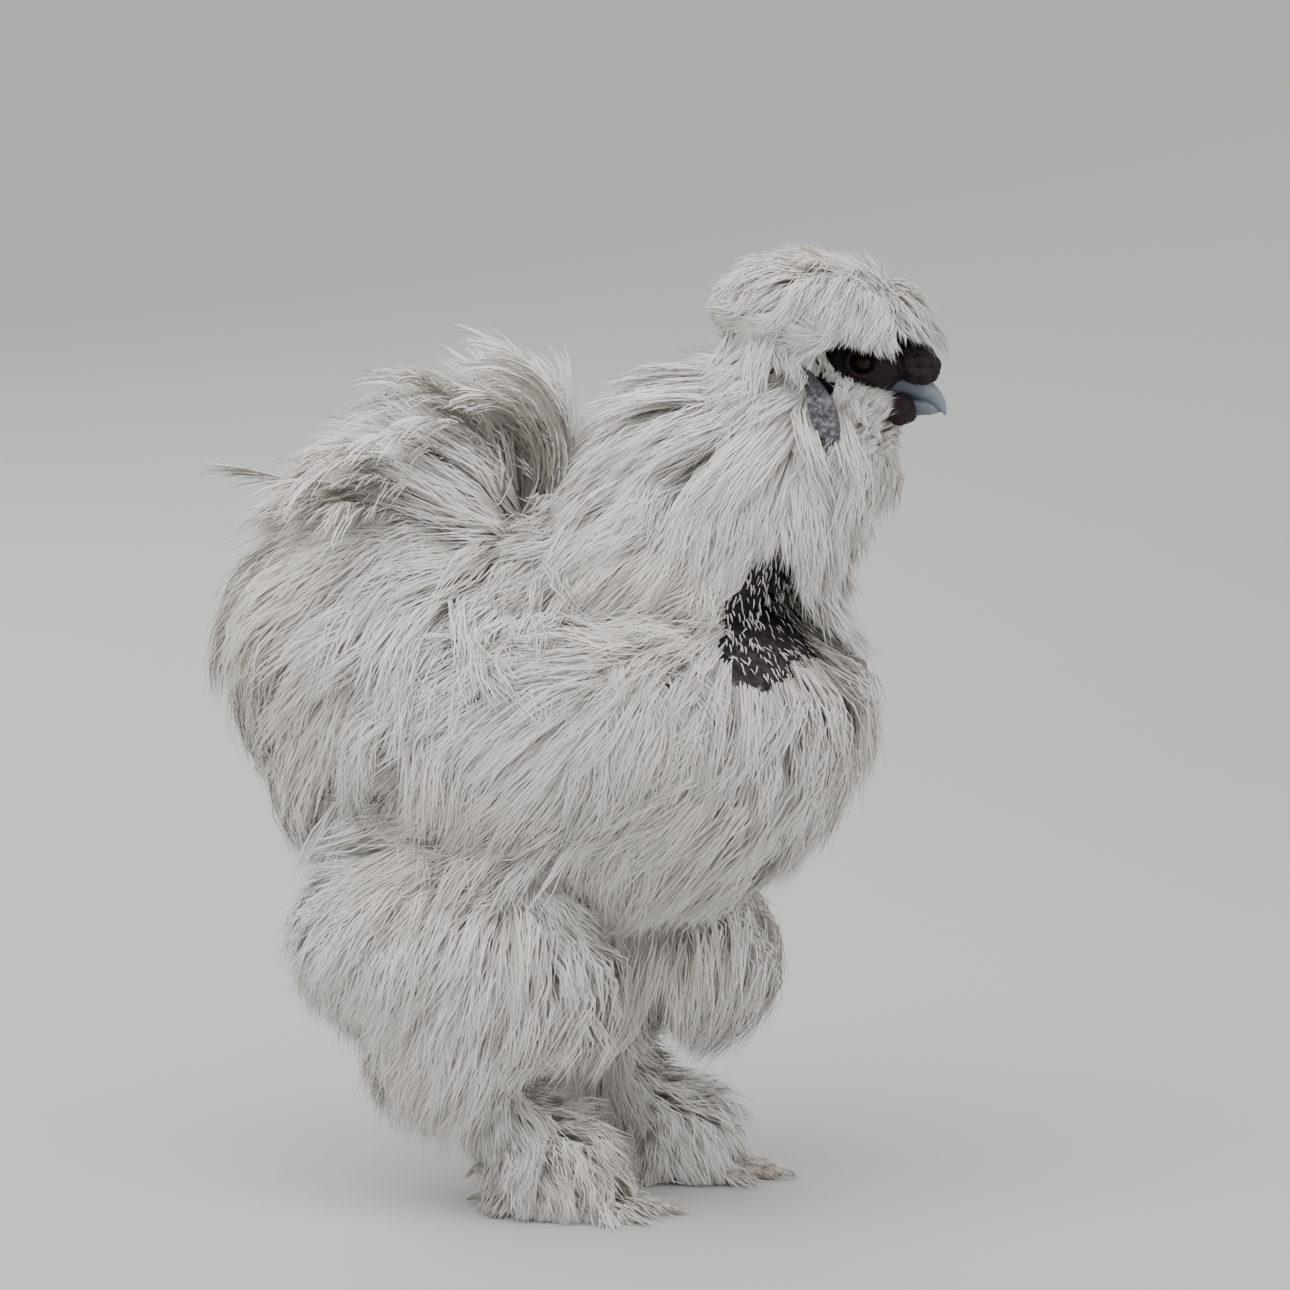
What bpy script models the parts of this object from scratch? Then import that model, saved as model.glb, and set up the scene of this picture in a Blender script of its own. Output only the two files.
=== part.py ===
"""Silkie chicken, standing: a still life-size model, in metres, +Z up.

The bird faces +X, its left side is +Y, and the origin is on the floor under the middle of its box.
Every node is one closed body. A feathered node is an egg-shaped core with flat tapered locks fused
to it, and the locks follow the smooth union of all the cores, as plumage follows the body.
"""

import math
import random

import bmesh
import bpy
from mathutils import Matrix, Vector

MM = 0.001

# Driving dimensions, in metres
GAP = 0.3 * MM
FLOOR_CLEARANCE = 1.5 * MM
LOCK_SUNK = 3.5 * MM
ROOT_DEPTH = 1.5 * MM
COVER = 8.0 * MM
ROOM_BESIDE = 1.22
LAST_TILT = 2.5
BLEND = 12.0 * MM
LOCK_RINGS = 3
LOCK_ROOT = 0.6
LOCK_SWELL = 1.3
LOCK_TAPER = 2.2
RIDGE = 0.65
GROW_SIDE = 6.0
GROW_RIDGE = 1.5
GROW_BELLY = 0.9
LEAVING_RISE = 2.2
LANDING_RISE = 0.3
PLUME_RINGS = 4
FOOT_STEPS = 3
LEG_SPREAD = 38
LEFT_LEG_FORWARD = 32
LEFT_THIGH_FORWARD = 46
EYE_RADIUS = 4.3
TOE_RADIUS = 3.4

PROBE = 0.2 * MM
WELD = 0.005 * MM
GOLDEN_ANGLE = math.pi * (3 - math.sqrt(5))
RIGHT, LEFT = -1, 1
SIDES = {"right": RIGHT, "left": LEFT}

PLUMAGE = ("plumage", (0.80, 0.79, 0.76), 0.85)
FACE_SKIN = ("face_skin", (0.035, 0.025, 0.035), 0.55)
LOBE_SKIN = ("lobe_skin", (0.13, 0.13, 0.17), 0.5)
HORN = ("horn", (0.16, 0.18, 0.22), 0.35)
EYE = ("eye", (0.008, 0.006, 0.006), 0.08)
FOOT_SKIN = ("foot_skin", (0.42, 0.37, 0.35), 0.6)
CLAW = ("claw", (0.55, 0.50, 0.47), 0.4)


class Form:
    """An egg-shaped form, given in millimetres: centre, three radii and how far its front tips up."""

    def __init__(self, centre, radii, pitch=0.0, fineness=(12, 8)):
        self.centre = Vector(centre) * MM
        self.radii = Vector(radii) * MM
        self.pitch = pitch
        self.fineness = fineness
        self.forward = 0.0
        self.turn = Matrix.Rotation(-math.radians(pitch), 3, "Y")
        self.back = self.turn.transposed()

    def height(self, point):
        """About how far a point stands off the surface, negative inside."""
        local = self.back @ (point - self.centre)
        near = Vector([a / r for a, r in zip(local, self.radii)]).length
        slope = Vector([a / (r * r) for a, r in zip(local, self.radii)]).length
        return near * (near - 1) / max(slope, 1e-9)

    def at(self, direction):
        """The surface point in a direction of the form's own unit sphere."""
        return self.centre + self.turn @ Vector([d * r for d, r in zip(direction, self.radii)])

    def mirrored(self, forward=0.0):
        """The same form on the other side of the bird, moved forward."""
        place = self.centre / MM
        twin = Form((place.x + forward, -place.y, place.z), self.radii / MM, self.pitch, self.fineness)
        twin.forward = forward
        return twin

    def mesh(self, name, grow=0.0):
        """The form as a closed faceted sphere, grown on all sides."""
        shape = bmesh.new()
        segments, rings = self.fineness
        bmesh.ops.create_uvsphere(shape, u_segments=segments, v_segments=rings, radius=1)
        size = Matrix.Diagonal((self.radii + Vector((grow, grow, grow))).to_4d())
        place = Matrix.Translation(self.centre) @ self.turn.to_4x4() @ size
        bmesh.ops.transform(shape, matrix=place, verts=shape.verts)
        return made(name, shape)


def made(name, shape):
    """An object from a finished bmesh, in triangles that point out."""
    bmesh.ops.triangulate(shape, faces=shape.faces, quad_method="FIXED")
    bmesh.ops.recalc_face_normals(shape, faces=shape.faces)
    mesh = bpy.data.meshes.new(name)
    shape.to_mesh(mesh)
    shape.free()
    thing = bpy.data.objects.new(name, mesh)
    bpy.context.scene.collection.objects.link(thing)
    return thing


def swept(name, rings, tip=None):
    """A closed body through rings of corners, each extruded from the last, pointed if a tip is given."""
    shape = bmesh.new()
    corner_of = shape.verts.layers.int.new("corner")
    bmesh.ops.create_circle(shape, cap_ends=True, segments=len(rings[0]), radius=1)
    for index, vertex in enumerate(shape.verts):
        vertex[corner_of] = index
    root = end = shape.faces[:][0]
    for index, ring in enumerate(rings):
        if index:
            end = extruded(shape, end, root)
        for vertex in end.verts:
            vertex.co = ring[vertex[corner_of]]
    if tip:
        end = extruded(shape, end, root)
        bmesh.ops.pointmerge(shape, verts=end.verts[:], merge_co=tip)
    return made(name, shape)


def extruded(shape, end, root):
    """The new end face after extruding the last one, which goes unless it closes the root."""
    moved = bmesh.ops.extrude_face_region(shape, geom=[end])["geom"]
    if end is not root:
        bmesh.ops.delete(shape, geom=[end], context="FACES_ONLY")
    return next(item for item in moved if isinstance(item, bmesh.types.BMFace))


# The forms of the body, as cores half way from the flesh to the tips of the plumage

SKULL = Form((112, 0, 328), (23, 16, 17), 4)
CREST = Form((98, 0, 350), (33, 29, 15), -6, (12, 6))
BEARD = Form((109, 0, 297), (17, 21, 16), 0, (10, 6))
NECK = Form((74, 0, 281), (57, 29, 36), 60, (10, 7))
CAPE = Form((44, 0, 250), (54, 46, 33), 20, (10, 7))
TORSO = Form((42, 0, 188), (70, 58, 54), 12)
SADDLE = Form((-54, 0, 214), (68, 56, 62), -6, (10, 8))
TAIL = Form((-46, 0, 270), (36, 30, 32), -20, (10, 7))
WING = {RIGHT: Form((-4, -63, 188), (62, 13, 34), 14, (10, 7))}
WING[LEFT] = WING[RIGHT].mirrored()
THIGH = {RIGHT: Form((-38, -43, 102), (55, 29, 35), -10, (10, 7))}
THIGH[LEFT] = THIGH[RIGHT].mirrored(LEFT_THIGH_FORWARD)
HOCK = {RIGHT: Form((-38, -LEG_SPREAD, 58), (21, 17, 20), 30, (10, 6))}
HOCK[LEFT] = HOCK[RIGHT].mirrored(LEFT_LEG_FORWARD)
INSTEP = {RIGHT: Form((0, -LEG_SPREAD, 23), (17, 14, 14), -24, (10, 6))}
INSTEP[LEFT] = INSTEP[RIGHT].mirrored(LEFT_LEG_FORWARD)

# The outermost first, as the plumage of one lies over the next
BODY = [
    CREST, BEARD, NECK, CAPE, TAIL, SADDLE, WING[RIGHT], WING[LEFT], TORSO, SKULL,
    THIGH[RIGHT], THIGH[LEFT], HOCK[RIGHT], HOCK[LEFT], INSTEP[RIGHT], INSTEP[LEFT],
]


def stand_off(point):
    """The height of a point over the smooth union of the body's forms."""
    lowest = BODY[0].height(point)
    for form in BODY[1:]:
        other = form.height(point)
        mix = max(BLEND - abs(lowest - other), 0.0) / BLEND
        lowest = min(lowest, other) - mix * mix * BLEND / 4
    return lowest


def outward(point):
    """The direction straight off the body."""
    here = stand_off(point)
    steps = (Vector((PROBE, 0, 0)), Vector((0, PROBE, 0)), Vector((0, 0, PROBE)))
    return Vector([stand_off(point + step) - here for step in steps]).normalized()


def settled(point, height):
    """The point moved straight off the body, or back to it, until it stands at a height."""
    for _ in range(3):
        point = point + outward(point) * (height - stand_off(point))
    return point


def along(vector, normal):
    """The part of a vector that lies along the surface, at unit length."""
    return (vector - normal * vector.dot(normal)).normalized()


class Lock:
    """One flat tapered lock: the line from its sunk root to its tip, and its breadth and thickness."""

    def __init__(self, points, normals, width, thick):
        self.points, self.normals = points, normals
        self.width, self.thick = width, thick

    def mesh(self, name, grow=0.0):
        """A closed three-sided body, flat below and ridged above, like a leaf from above."""
        rings = []
        for index in range(len(self.points) - 1):
            share = index / (len(self.points) - 1)
            full = (LOCK_ROOT + LOCK_SWELL * share) * (1 - share ** LOCK_TAPER)
            ahead = (self.points[index + 1] - self.points[max(index - 1, 0)]).normalized()
            side = self.normals[index].cross(ahead).normalized()
            up = ahead.cross(side)
            half = self.width * full / 2 + GROW_SIDE * grow
            rise = self.thick * full * RIDGE + GROW_RIDGE * grow
            dip = self.thick * full * (1 - RIDGE) + GROW_BELLY * grow
            centre = self.points[index] - ahead * (0 if index else grow)
            left = centre + side * half - up * dip
            right = centre - side * half - up * dip
            rings.append((left, right, centre + up * rise))
        ahead = (self.points[-1] - self.points[-2]).normalized()
        return swept(name, rings, self.points[-1] + ahead * GROW_RIDGE * grow)


def laid_lock(root, flow, length, width, thick, stand, sway):
    """A lock that leaves the body at a root and lies along a flow, its tip standing off by a height."""
    foot = settled(root, 0.0)
    first = normal = outward(foot)
    heading = start = along(flow(foot), normal)
    for _ in range(FOOT_STEPS):
        heading = along(flow(foot) + normal.cross(heading) * sway, normal)
        foot = settled(foot + heading * length / FOOT_STEPS, 0.0)
        normal = outward(foot)
    rise = (LOCK_SUNK + stand) / length
    base = root - first * LOCK_SUNK
    tip = foot + normal * stand
    reach = (tip - base).length
    leaving = (start + first * rise * LEAVING_RISE) * reach
    landing = (along(heading, normal) + normal * rise * LANDING_RISE) * reach
    points, normals = [], []
    for index in range(LOCK_RINGS + 1):
        share = index / LOCK_RINGS
        place = hermite(base, leaving, tip, landing, share)
        place.z = max(place.z, FLOOR_CLEARANCE + thick * (1 - RIDGE))
        points.append(place)
        normals.append(first.lerp(normal, share))
    return Lock(points, normals, width, thick)


def hermite(start, leaving, end, landing, share):
    """A point a share of the way along the cubic between two ends with given slopes."""
    back = share - 1
    return (
        start * (1 + 2 * share) * back * back + leaving * share * back * back
        + end * share * share * (3 - 2 * share) + landing * share * share * back
    )


def staggered_roots(form, pole, step, width):
    """Points in rows round a form from its pole on, staggered, and short of where the lie runs together."""
    axis = form.back @ (Vector(pole) * MM - form.centre)
    axis = Vector([a / r for a, r in zip(axis, form.radii)]).normalized()
    across = axis.cross(Vector((0, 1, 0))).normalized()
    beyond = across.cross(axis)
    girth = 2 * math.pi * sum(form.radii) / 3
    rows = round(girth / 2 / (step * MM))
    for row in range(rows):
        tilt = math.pi * (row + 0.5) / rows
        if tilt > LAST_TILT:
            break
        count = max(round(girth * math.sin(tilt) / (width * MM)), 1)
        for place in range(count):
            turn = 2 * math.pi * (place + 0.5 * (row % 2)) / count
            round_axis = across * math.cos(turn) + beyond * math.sin(turn)
            yield form.at(axis * math.cos(tilt) + round_axis * math.sin(tilt))


def away_from(pole, fall):
    """A flow that spreads from a pole, given in millimetres, and falls by a share."""
    start = Vector(pole) * MM
    return lambda point: (point - start).normalized() + Vector((0, 0, -fall))


def buried(point, own):
    """Whether a root lies inside another form, or close under the plumage of one that overlies its own."""
    place = BODY.index(own)
    if any(form.height(point) < COVER for form in BODY[:place]):
        return True
    return any(form.height(point) < -ROOT_DEPTH for form in BODY[place + 1:])


def coat(form, pole, fall, step, sizes, wanted, seed):
    """The locks of one form, varied about their named sizes."""
    chance = random.Random(seed)
    length, width, thick, stand = [size * MM for size in sizes]
    locks = []
    for root in staggered_roots(form, pole, step, sizes[1] * ROOM_BESIDE):
        vary = chance.uniform(0.9, 1.1)
        sway = chance.uniform(-0.1, 0.1)
        if wanted(root / MM) and not buried(root, form):
            lock = laid_lock(root, away_from(pole, fall), length * vary, width, thick, stand * vary, sway)
            locks.append(lock)
    return locks


def arched_plume(root, azimuth, rise, length, bend, width, thick):
    """A tail plume that rises from a root at an angle and arches over by a bend, in degrees."""
    out = Vector((-math.cos(azimuth), math.sin(azimuth), 0))
    point = Vector(root) * MM
    points, normals = [], []
    for index in range(PLUME_RINGS + 1):
        angle = math.radians(rise - bend * index / PLUME_RINGS)
        ahead = out * math.cos(angle) + Vector((0, 0, math.sin(angle)))
        points.append(point.copy())
        normals.append(Vector((0, 0, math.cos(angle))) - out * math.sin(angle))
        point = point + ahead * length * MM / PLUME_RINGS
    return Lock(points, normals, width * MM, thick * MM)


def joined(name, pieces):
    """One object from the Boolean union of some closed ones."""
    first, rest = pieces[0], pieces[1:]
    first.name = name
    if rest:
        apply_boolean(first, rest, "UNION")
    return first


def apply_boolean(thing, others, operation):
    """Joins the others to a thing or cuts them from it, and removes them."""
    group = bpy.data.collections.new("group")
    bpy.context.scene.collection.children.link(group)
    for other in others:
        bpy.context.scene.collection.objects.unlink(other)
        group.objects.link(other)
    step = thing.modifiers.new(operation.title(), "BOOLEAN")
    step.operation = operation
    step.solver = "MANIFOLD"
    step.operand_type = "COLLECTION"
    step.collection = group
    bpy.context.view_layer.objects.active = thing
    with bpy.context.temp_override(active_object=thing, object=thing, selected_objects=[thing]):
        bpy.ops.object.modifier_apply(modifier=step.name)
    for other in others:
        bpy.data.meshes.remove(other.data)
    bpy.data.collections.remove(group)


def keep_largest(thing):
    """Merges the corners that cuts leave closer than a weld, and drops all closed surfaces but the largest."""
    shape = bmesh.new()
    shape.from_mesh(thing.data)
    bmesh.ops.remove_doubles(shape, verts=shape.verts, dist=WELD)
    bmesh.ops.triangulate(shape, faces=shape.faces)
    left = set(shape.faces)
    islands = []
    while left:
        island, edge = [], [left.pop()]
        while edge:
            face = edge.pop()
            island.append(face)
            near = {other for side in face.edges for other in side.link_faces} & left
            left -= near
            edge += near
        islands.append(island)
    islands.sort(key=enclosed)
    scraps = [face for island in islands[:-1] for face in island]
    bmesh.ops.delete(shape, geom=scraps, context="FACES")
    shape.to_mesh(thing.data)
    shape.free()


def enclosed(faces):
    """Six times the volume inside some faces."""
    total = 0.0
    for face in faces:
        corners = [vertex.co for vertex in face.verts]
        for second, third in zip(corners[1:], corners[2:]):
            total += corners[0].dot(second.cross(third))
    return total


class Sweep:
    """A body swept through oval rings: centres, half breadths and half depths, in millimetres."""

    def __init__(self, centres, breadths, depths, tip=None, corners=8, flat_foot=False):
        self.centres = [Vector(centre) * MM for centre in centres]
        self.breadths = [breadth * MM for breadth in breadths]
        self.depths = [depth * MM for depth in depths]
        self.tip = Vector(tip) * MM if tip else None
        self.corners = corners
        self.flat_foot = flat_foot

    def mesh(self, name, grow=0.0):
        """The swept body, grown on all sides; a flat foot stops at the floor."""
        path = self.centres + ([self.tip] if self.tip else [])
        rings = []
        for index, centre in enumerate(self.centres):
            behind, ahead = path[max(index - 1, 0)], path[min(index + 1, len(path) - 1)]
            forward = (ahead - behind).normalized()
            side = Vector((0, 0, 1)).cross(forward)
            side = side.normalized() if side.length > 0.1 else Vector((0, 1, 0))
            up = forward.cross(side)
            if index == 0:
                centre = centre - forward * grow
            elif index == len(path) - 1:
                centre = centre + forward * grow
            ring = []
            for corner in range(self.corners):
                angle = 2 * math.pi * (corner + 0.5) / self.corners
                across = side * math.cos(angle) * (self.breadths[index] + grow)
                point = centre + across + up * math.sin(angle) * (self.depths[index] + grow)
                if self.flat_foot:
                    point.z = max(point.z, -grow)
                ring.append(point)
            rings.append(ring)
        tip = None
        if self.tip:
            tip = self.tip + (self.tip - self.centres[-1]).normalized() * 2 * grow
        return swept(name, rings, tip)


class Rim:
    """A round rim, such as the lids, that faces sideways: centre, radius and thickness in millimetres."""

    def __init__(self, centre, radius, tube):
        self.centre, self.radius, self.tube = Vector(centre) * MM, radius * MM, tube * MM

    def mesh(self, name, grow=0.0):
        """A ring spun about the bird's sideways axis."""
        shape = bmesh.new()
        ring = bmesh.ops.create_circle(shape, segments=4, radius=self.tube + grow)["verts"]
        place = self.centre + Vector((self.radius, 0, 0))
        bmesh.ops.translate(shape, verts=ring, vec=place)
        bmesh.ops.spin(
            shape, geom=shape.edges[:] + ring, cent=self.centre, axis=(0, 1, 0),
            angle=2 * math.pi, steps=8, use_merge=True,
        )
        return made(name, shape)


class Node:
    """A named solid: its finish and the pieces that it is fused from."""

    def __init__(self, name, finish, pieces, hollows=()):
        self.name, self.finish, self.pieces, self.hollows = name, finish, pieces, hollows

    def build(self, overs):
        """Fuses the pieces, then cuts the node a gap clear of the nodes that lie over it."""
        thing = joined(self.name, [piece.mesh(self.name) for piece in self.pieces])
        cutters = [hollow.mesh("hollow") for hollow in self.hollows]
        low, high = box_of(thing)
        for over in overs:
            for piece in over.pieces:
                cutter = piece.mesh("cutter", GAP)
                bottom, top = box_of(cutter)
                if all(bottom[i] < high[i] and top[i] > low[i] for i in range(3)):
                    cutters.append(cutter)
                else:
                    bpy.data.meshes.remove(cutter.data)
        if cutters:
            apply_boolean(thing, cutters, "DIFFERENCE")
        keep_largest(thing)
        finish(thing, self.finish)
        return thing


def box_of(thing):
    """The lowest and highest corner of a thing's own points."""
    points = [vertex.co for vertex in thing.data.vertices]
    low = [min(point[i] for point in points) for i in range(3)]
    return low, [max(point[i] for point in points) for i in range(3)]


def finish(thing, looks):
    """Gives a thing its material, made once for each finish."""
    name, colour, roughness = looks
    material = bpy.data.materials.get(name)
    if not material:
        material = bpy.data.materials.new(name)
        material.use_nodes = True
        shader = material.node_tree.nodes["Principled BSDF"]
        shader.inputs["Base Color"].default_value = (*colour, 1)
        shader.inputs["Roughness"].default_value = roughness
        shader.inputs["Metallic"].default_value = 0.0
    thing.data.materials.clear()
    thing.data.materials.append(material)
    thing.data.set_sharp_from_angle(angle=math.radians(40))


# The bare parts of the head, in millimetres, given for the left side

EYE_PLACE = (118, 12.6, 330)
EAR_PAD = (98, 18, 324)
BEAK_UPPER = Sweep(
    centres=[(122, 0, 320), (132, 0, 320.5), (139.5, 0, 319), (145, 0, 315.4)],
    breadths=[8, 7, 5, 2.8], depths=[6, 5.6, 4.6, 3], tip=(148.5, 0, 309), corners=10,
)
BEAK_LOWER = Sweep(
    centres=[(122, 0, 312), (131, 0, 311), (137.5, 0, 310.6)],
    breadths=[7, 5.4, 3.4], depths=[4, 3.2, 2.2], tip=(143.5, 0, 309.8), corners=8,
)
COMB_LUMPS = 19


def beside(place, side):
    """A place on one side of the bird."""
    return (place[0], place[1] * side, place[2])


def comb_lumps():
    """The walnut comb: a cushion over the base of the beak with low rounded lumps."""
    cushion = Form((136, 0, 329.5), (10, 9.5, 7), -28, (12, 8))
    lumps = [cushion]
    for index in range(COMB_LUMPS):
        z = 1 - (2 * index + 1) / (COMB_LUMPS + 6)
        around = math.sqrt(1 - z * z)
        angle = GOLDEN_ANGLE * index
        place = cushion.at(Vector((around * math.cos(angle), around * math.sin(angle), z)) * 0.86)
        if SKULL.height(place) > 3.5 * MM:
            lumps.append(Form(place / MM, (3.1, 2.9, 2.7), 0, (6, 4)))
    return lumps


def bare_head_nodes():
    """The eyes, beak, comb, wattles, ear lobes and the head that carries them."""
    nodes = []
    skin = [SKULL]
    nostrils = []
    for word, side in SIDES.items():
        eye = Form(beside(EYE_PLACE, side), (EYE_RADIUS,) * 3, 0, (10, 6))
        nodes.append(Node("eye_" + word, EYE, [eye]))
        skin.append(Rim(beside((EYE_PLACE[0], 15.0, EYE_PLACE[2]), side), EYE_RADIUS + 0.5, 1.2))
        skin.append(Form(beside(EAR_PAD, side), (9, 9.5, 7), 0, (8, 6)))
        nostrils.append(Form(beside((138, 5.4, 320.4), side), (1.7, 1.4, 0.9), 20, (8, 5)))
    nodes.append(Node("comb", FACE_SKIN, comb_lumps()))
    nodes.append(Node("beak_upper", HORN, [BEAK_UPPER], nostrils))
    nodes.append(Node("beak_lower", HORN, [BEAK_LOWER]))
    for word, side in SIDES.items():
        wattle = Form(beside((129.5, 5.6, 309), side), (6.5, 3.4, 7.5), -12, (8, 6))
        lobe = Form(beside((102, 28, 312), side), (6.6, 3.4, 17), 27, (10, 7))
        nodes.append(Node("wattle_" + word, FACE_SKIN, [wattle]))
        nodes.append(Node("ear_lobe_" + word, LOBE_SKIN, [lobe]))
    nodes.append(Node("head", FACE_SKIN, skin))
    return nodes


# The plumage, in millimetres: the pole that the lie spreads from, how much it falls, the step from
# row to row, and the length, width, thickness and stand of a lock

COATS = {
    "crest": ((124, 0, 366), 0.0, 17, (34, 19, 3.2, 12)),
    "beard": ((126, 0, 318), 0.4, 14, (27, 17, 2.8, 9)),
    "neck": ((106, 0, 336), 0.3, 29, (56, 24, 3.6, 18)),
    "cape": ((80, 0, 284), 0.2, 31, (60, 27, 3.8, 16)),
    "tail": ((-16, 0, 262), 0.0, 34, (62, 28, 3.8, 24)),
    "saddle": ((-18, 0, 262), 0.1, 35, (66, 31, 4.0, 21)),
    "wing": ((52, 0, 205), 0.2, 31, (56, 28, 3.6, 14)),
    "torso": ((80, 0, 230), 0.1, 32, (54, 29, 3.6, 15)),
    "thigh": ((8, 0, 140), 0.3, 31, (52, 28, 3.6, 14)),
    "hock": ((-24, 0, 78), 0.3, 24, (32, 20, 3.0, 9)),
    "instep": ((-8, 0, 40), 0.1, 17, (26, 16, 2.6, 8)),
}
BARE_CROP = (76, -52, 230)
BARE_CROP_RADIUS = 20
WING_FACE = 58
WING_REAR = -30


def anywhere(place):
    """The rule for a form that bears plumage all over."""
    return True


def clear_of_crop(place):
    """Whether a place is off the bare patch over the crop, on the right side."""
    return (place - Vector(BARE_CROP)).length > BARE_CROP_RADIUS


def on_wing(place):
    """Whether a place is on the outer face of a wing, and ahead of the rear edge that the saddle covers."""
    return abs(place.y) > WING_FACE and place.x > WING_REAR


def coat_of(name, form, seed, wanted=anywhere):
    """A form with its coat of locks."""
    pole, fall, step, sizes = COATS[name]
    spread_from = (pole[0] + form.forward, form.centre.y / MM, pole[2])
    return [form] + coat(form, spread_from, fall, step, sizes, wanted, seed)


# The tiers of the tail: how many plumes, their spread, rise and bend in degrees, their length, and how
# far behind the first tier and below it they grow
TAIL_TIERS = (
    (4, 44, 105, 118, 103, 0, 0),
    (4, 56, 72, 100, 92, 24, 0),
    (3, 66, 34, 60, 62, 40, 5),
)


def tail_plumes():
    """The long plumes of the tail, in three tiers that fan out and arch over backwards."""
    chance = random.Random(23)
    plumes = []
    for count, spread, rise, bend, length, behind, below in TAIL_TIERS:
        for index in range(count):
            azimuth = math.radians(spread * (2 * index / (count - 1) - 1) + chance.uniform(-4, 4))
            root = (-24 - behind, 26 * math.sin(azimuth), 272 - below)
            reach = length * chance.uniform(0.94, 1.06)
            plumes.append(arched_plume(root, azimuth, rise + chance.uniform(-4, 4), reach, bend, 30, 4))
    plumes.append(arched_plume((-68, -10, 260), math.radians(6), 34, 86, 34, 17, 3.2))
    return plumes


def feathered_nodes():
    """The nodes of the plumage but for the legs, the outermost first."""
    nodes = [
        Node("crest", PLUMAGE, coat_of("crest", CREST, 1, lambda place: place.z > 341)),
        Node("beard", PLUMAGE, coat_of("beard", BEARD, 2, lambda place: place.z < 310)),
        Node("neck", PLUMAGE, coat_of("neck", NECK, 3, lambda place: place.z < 338)
             + coat_of("cape", CAPE, 4, lambda place: place.x < 84 and clear_of_crop(place))),
        Node("tail", PLUMAGE, coat_of("tail", TAIL, 5) + tail_plumes()),
        Node("saddle", PLUMAGE, coat_of("saddle", SADDLE, 31)),
    ]
    for word, side in SIDES.items():
        nodes.append(Node("wing_" + word, PLUMAGE, coat_of("wing", WING[side], 101, on_wing)))
    nodes.append(Node("torso", PLUMAGE, coat_of("torso", TORSO, 10, clear_of_crop)))
    return nodes


def thigh_nodes():
    """The thighs, which lie under the plumage of all the rest."""
    return [
        Node("thigh_" + word, PLUMAGE, coat_of("thigh", THIGH[side], 12 + side))
        for word, side in SIDES.items()
    ]


# Each toe: its name, heading in degrees from straight ahead and outwards, length, and rise of its end
TOES = {
    "inner": (-26, 36, 0),
    "middle": (0, 45, 0),
    "outer": (27, 38, 0),
    "hind": (196, 27, 0),
    "fifth": (158, 24, 15),
}


def foot_nodes(word, side, forward):
    """A foot with five toes, its claws, and the feathered shank above it."""
    ankle = Vector((forward, LEG_SPREAD * side, 0))
    claws, toes = [], []
    for name, (heading, length, rise) in TOES.items():
        angle = math.radians(heading) * side
        out = Vector((math.cos(angle), math.sin(angle), 0))
        centres, radii = [], []
        for index in range(4):
            share = index / 3
            radius = TOE_RADIUS * (1.35 - 0.42 * share)
            lift = rise * share ** 1.5
            centres.append(ankle + out * length * share + Vector((0, 0, radius * 0.82 + lift)))
            radii.append(radius)
        toes.append(Sweep(centres, radii, radii, corners=6, flat_foot=True))
        end = centres[-1] + out * 0.6
        claw_tip = end + out * 9.5 + Vector((0, 0, 0.9 - end.z + rise * 0.9))
        claw = Sweep(
            [end, end + out * 4.5 + Vector((0, 0, 0.2))], [1.7, 1.3], [1.9, 1.5], tip=claw_tip, corners=6
        )
        claws.append(Node(f"claw_{word}_{name}", CLAW, [claw]))
    palm = Form(ankle + Vector((0, 0, 7)), (9, 8, 6.5), 0, (10, 6))
    foot = Node("foot_" + word, FOOT_SKIN, toes + [palm])
    hock = HOCK[side].centre / MM
    tube = Sweep([hock, ankle + Vector((-8, 0, 30)), ankle + Vector((0, 0, 14))], [8, 6.5, 6.5], [8, 6.5, 6.5])
    fluff = coat_of("hock", HOCK[side], 20 + side, lambda place: place.z < 66)
    fluff += coat_of("instep", INSTEP[side], 24 + side, lambda place: place.z > 16)
    shank = Node("shank_" + word, PLUMAGE, [tube] + fluff)
    return claws + [foot, shank]


def build_bird():
    """Builds every node in the order in which they lie over each other, the outermost first."""
    for thing in list(bpy.data.objects):
        bpy.data.objects.remove(thing)
    nodes = bare_head_nodes() + feathered_nodes()
    nodes += foot_nodes("right", RIGHT, 0) + foot_nodes("left", LEFT, LEFT_LEG_FORWARD)
    nodes += thigh_nodes()
    for index, node in enumerate(nodes):
        node.build(nodes[:index])


build_bird()
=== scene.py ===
"""The looks of a standing silkie chicken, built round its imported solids. Metres, +Z up, the bird faces +X.

The plumage is made of thin tapered strands in tufts. Tufts grow on the same egg-shaped forms as the
solids, lie along the smooth union of those forms, and draw together into locks towards their tips.
"""

import copy
import math

import bmesh
import bpy
import numpy as np
from bpy.props import FloatProperty, FloatVectorProperty, IntProperty, PointerProperty
from mathutils import Matrix, Vector, noise


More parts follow.
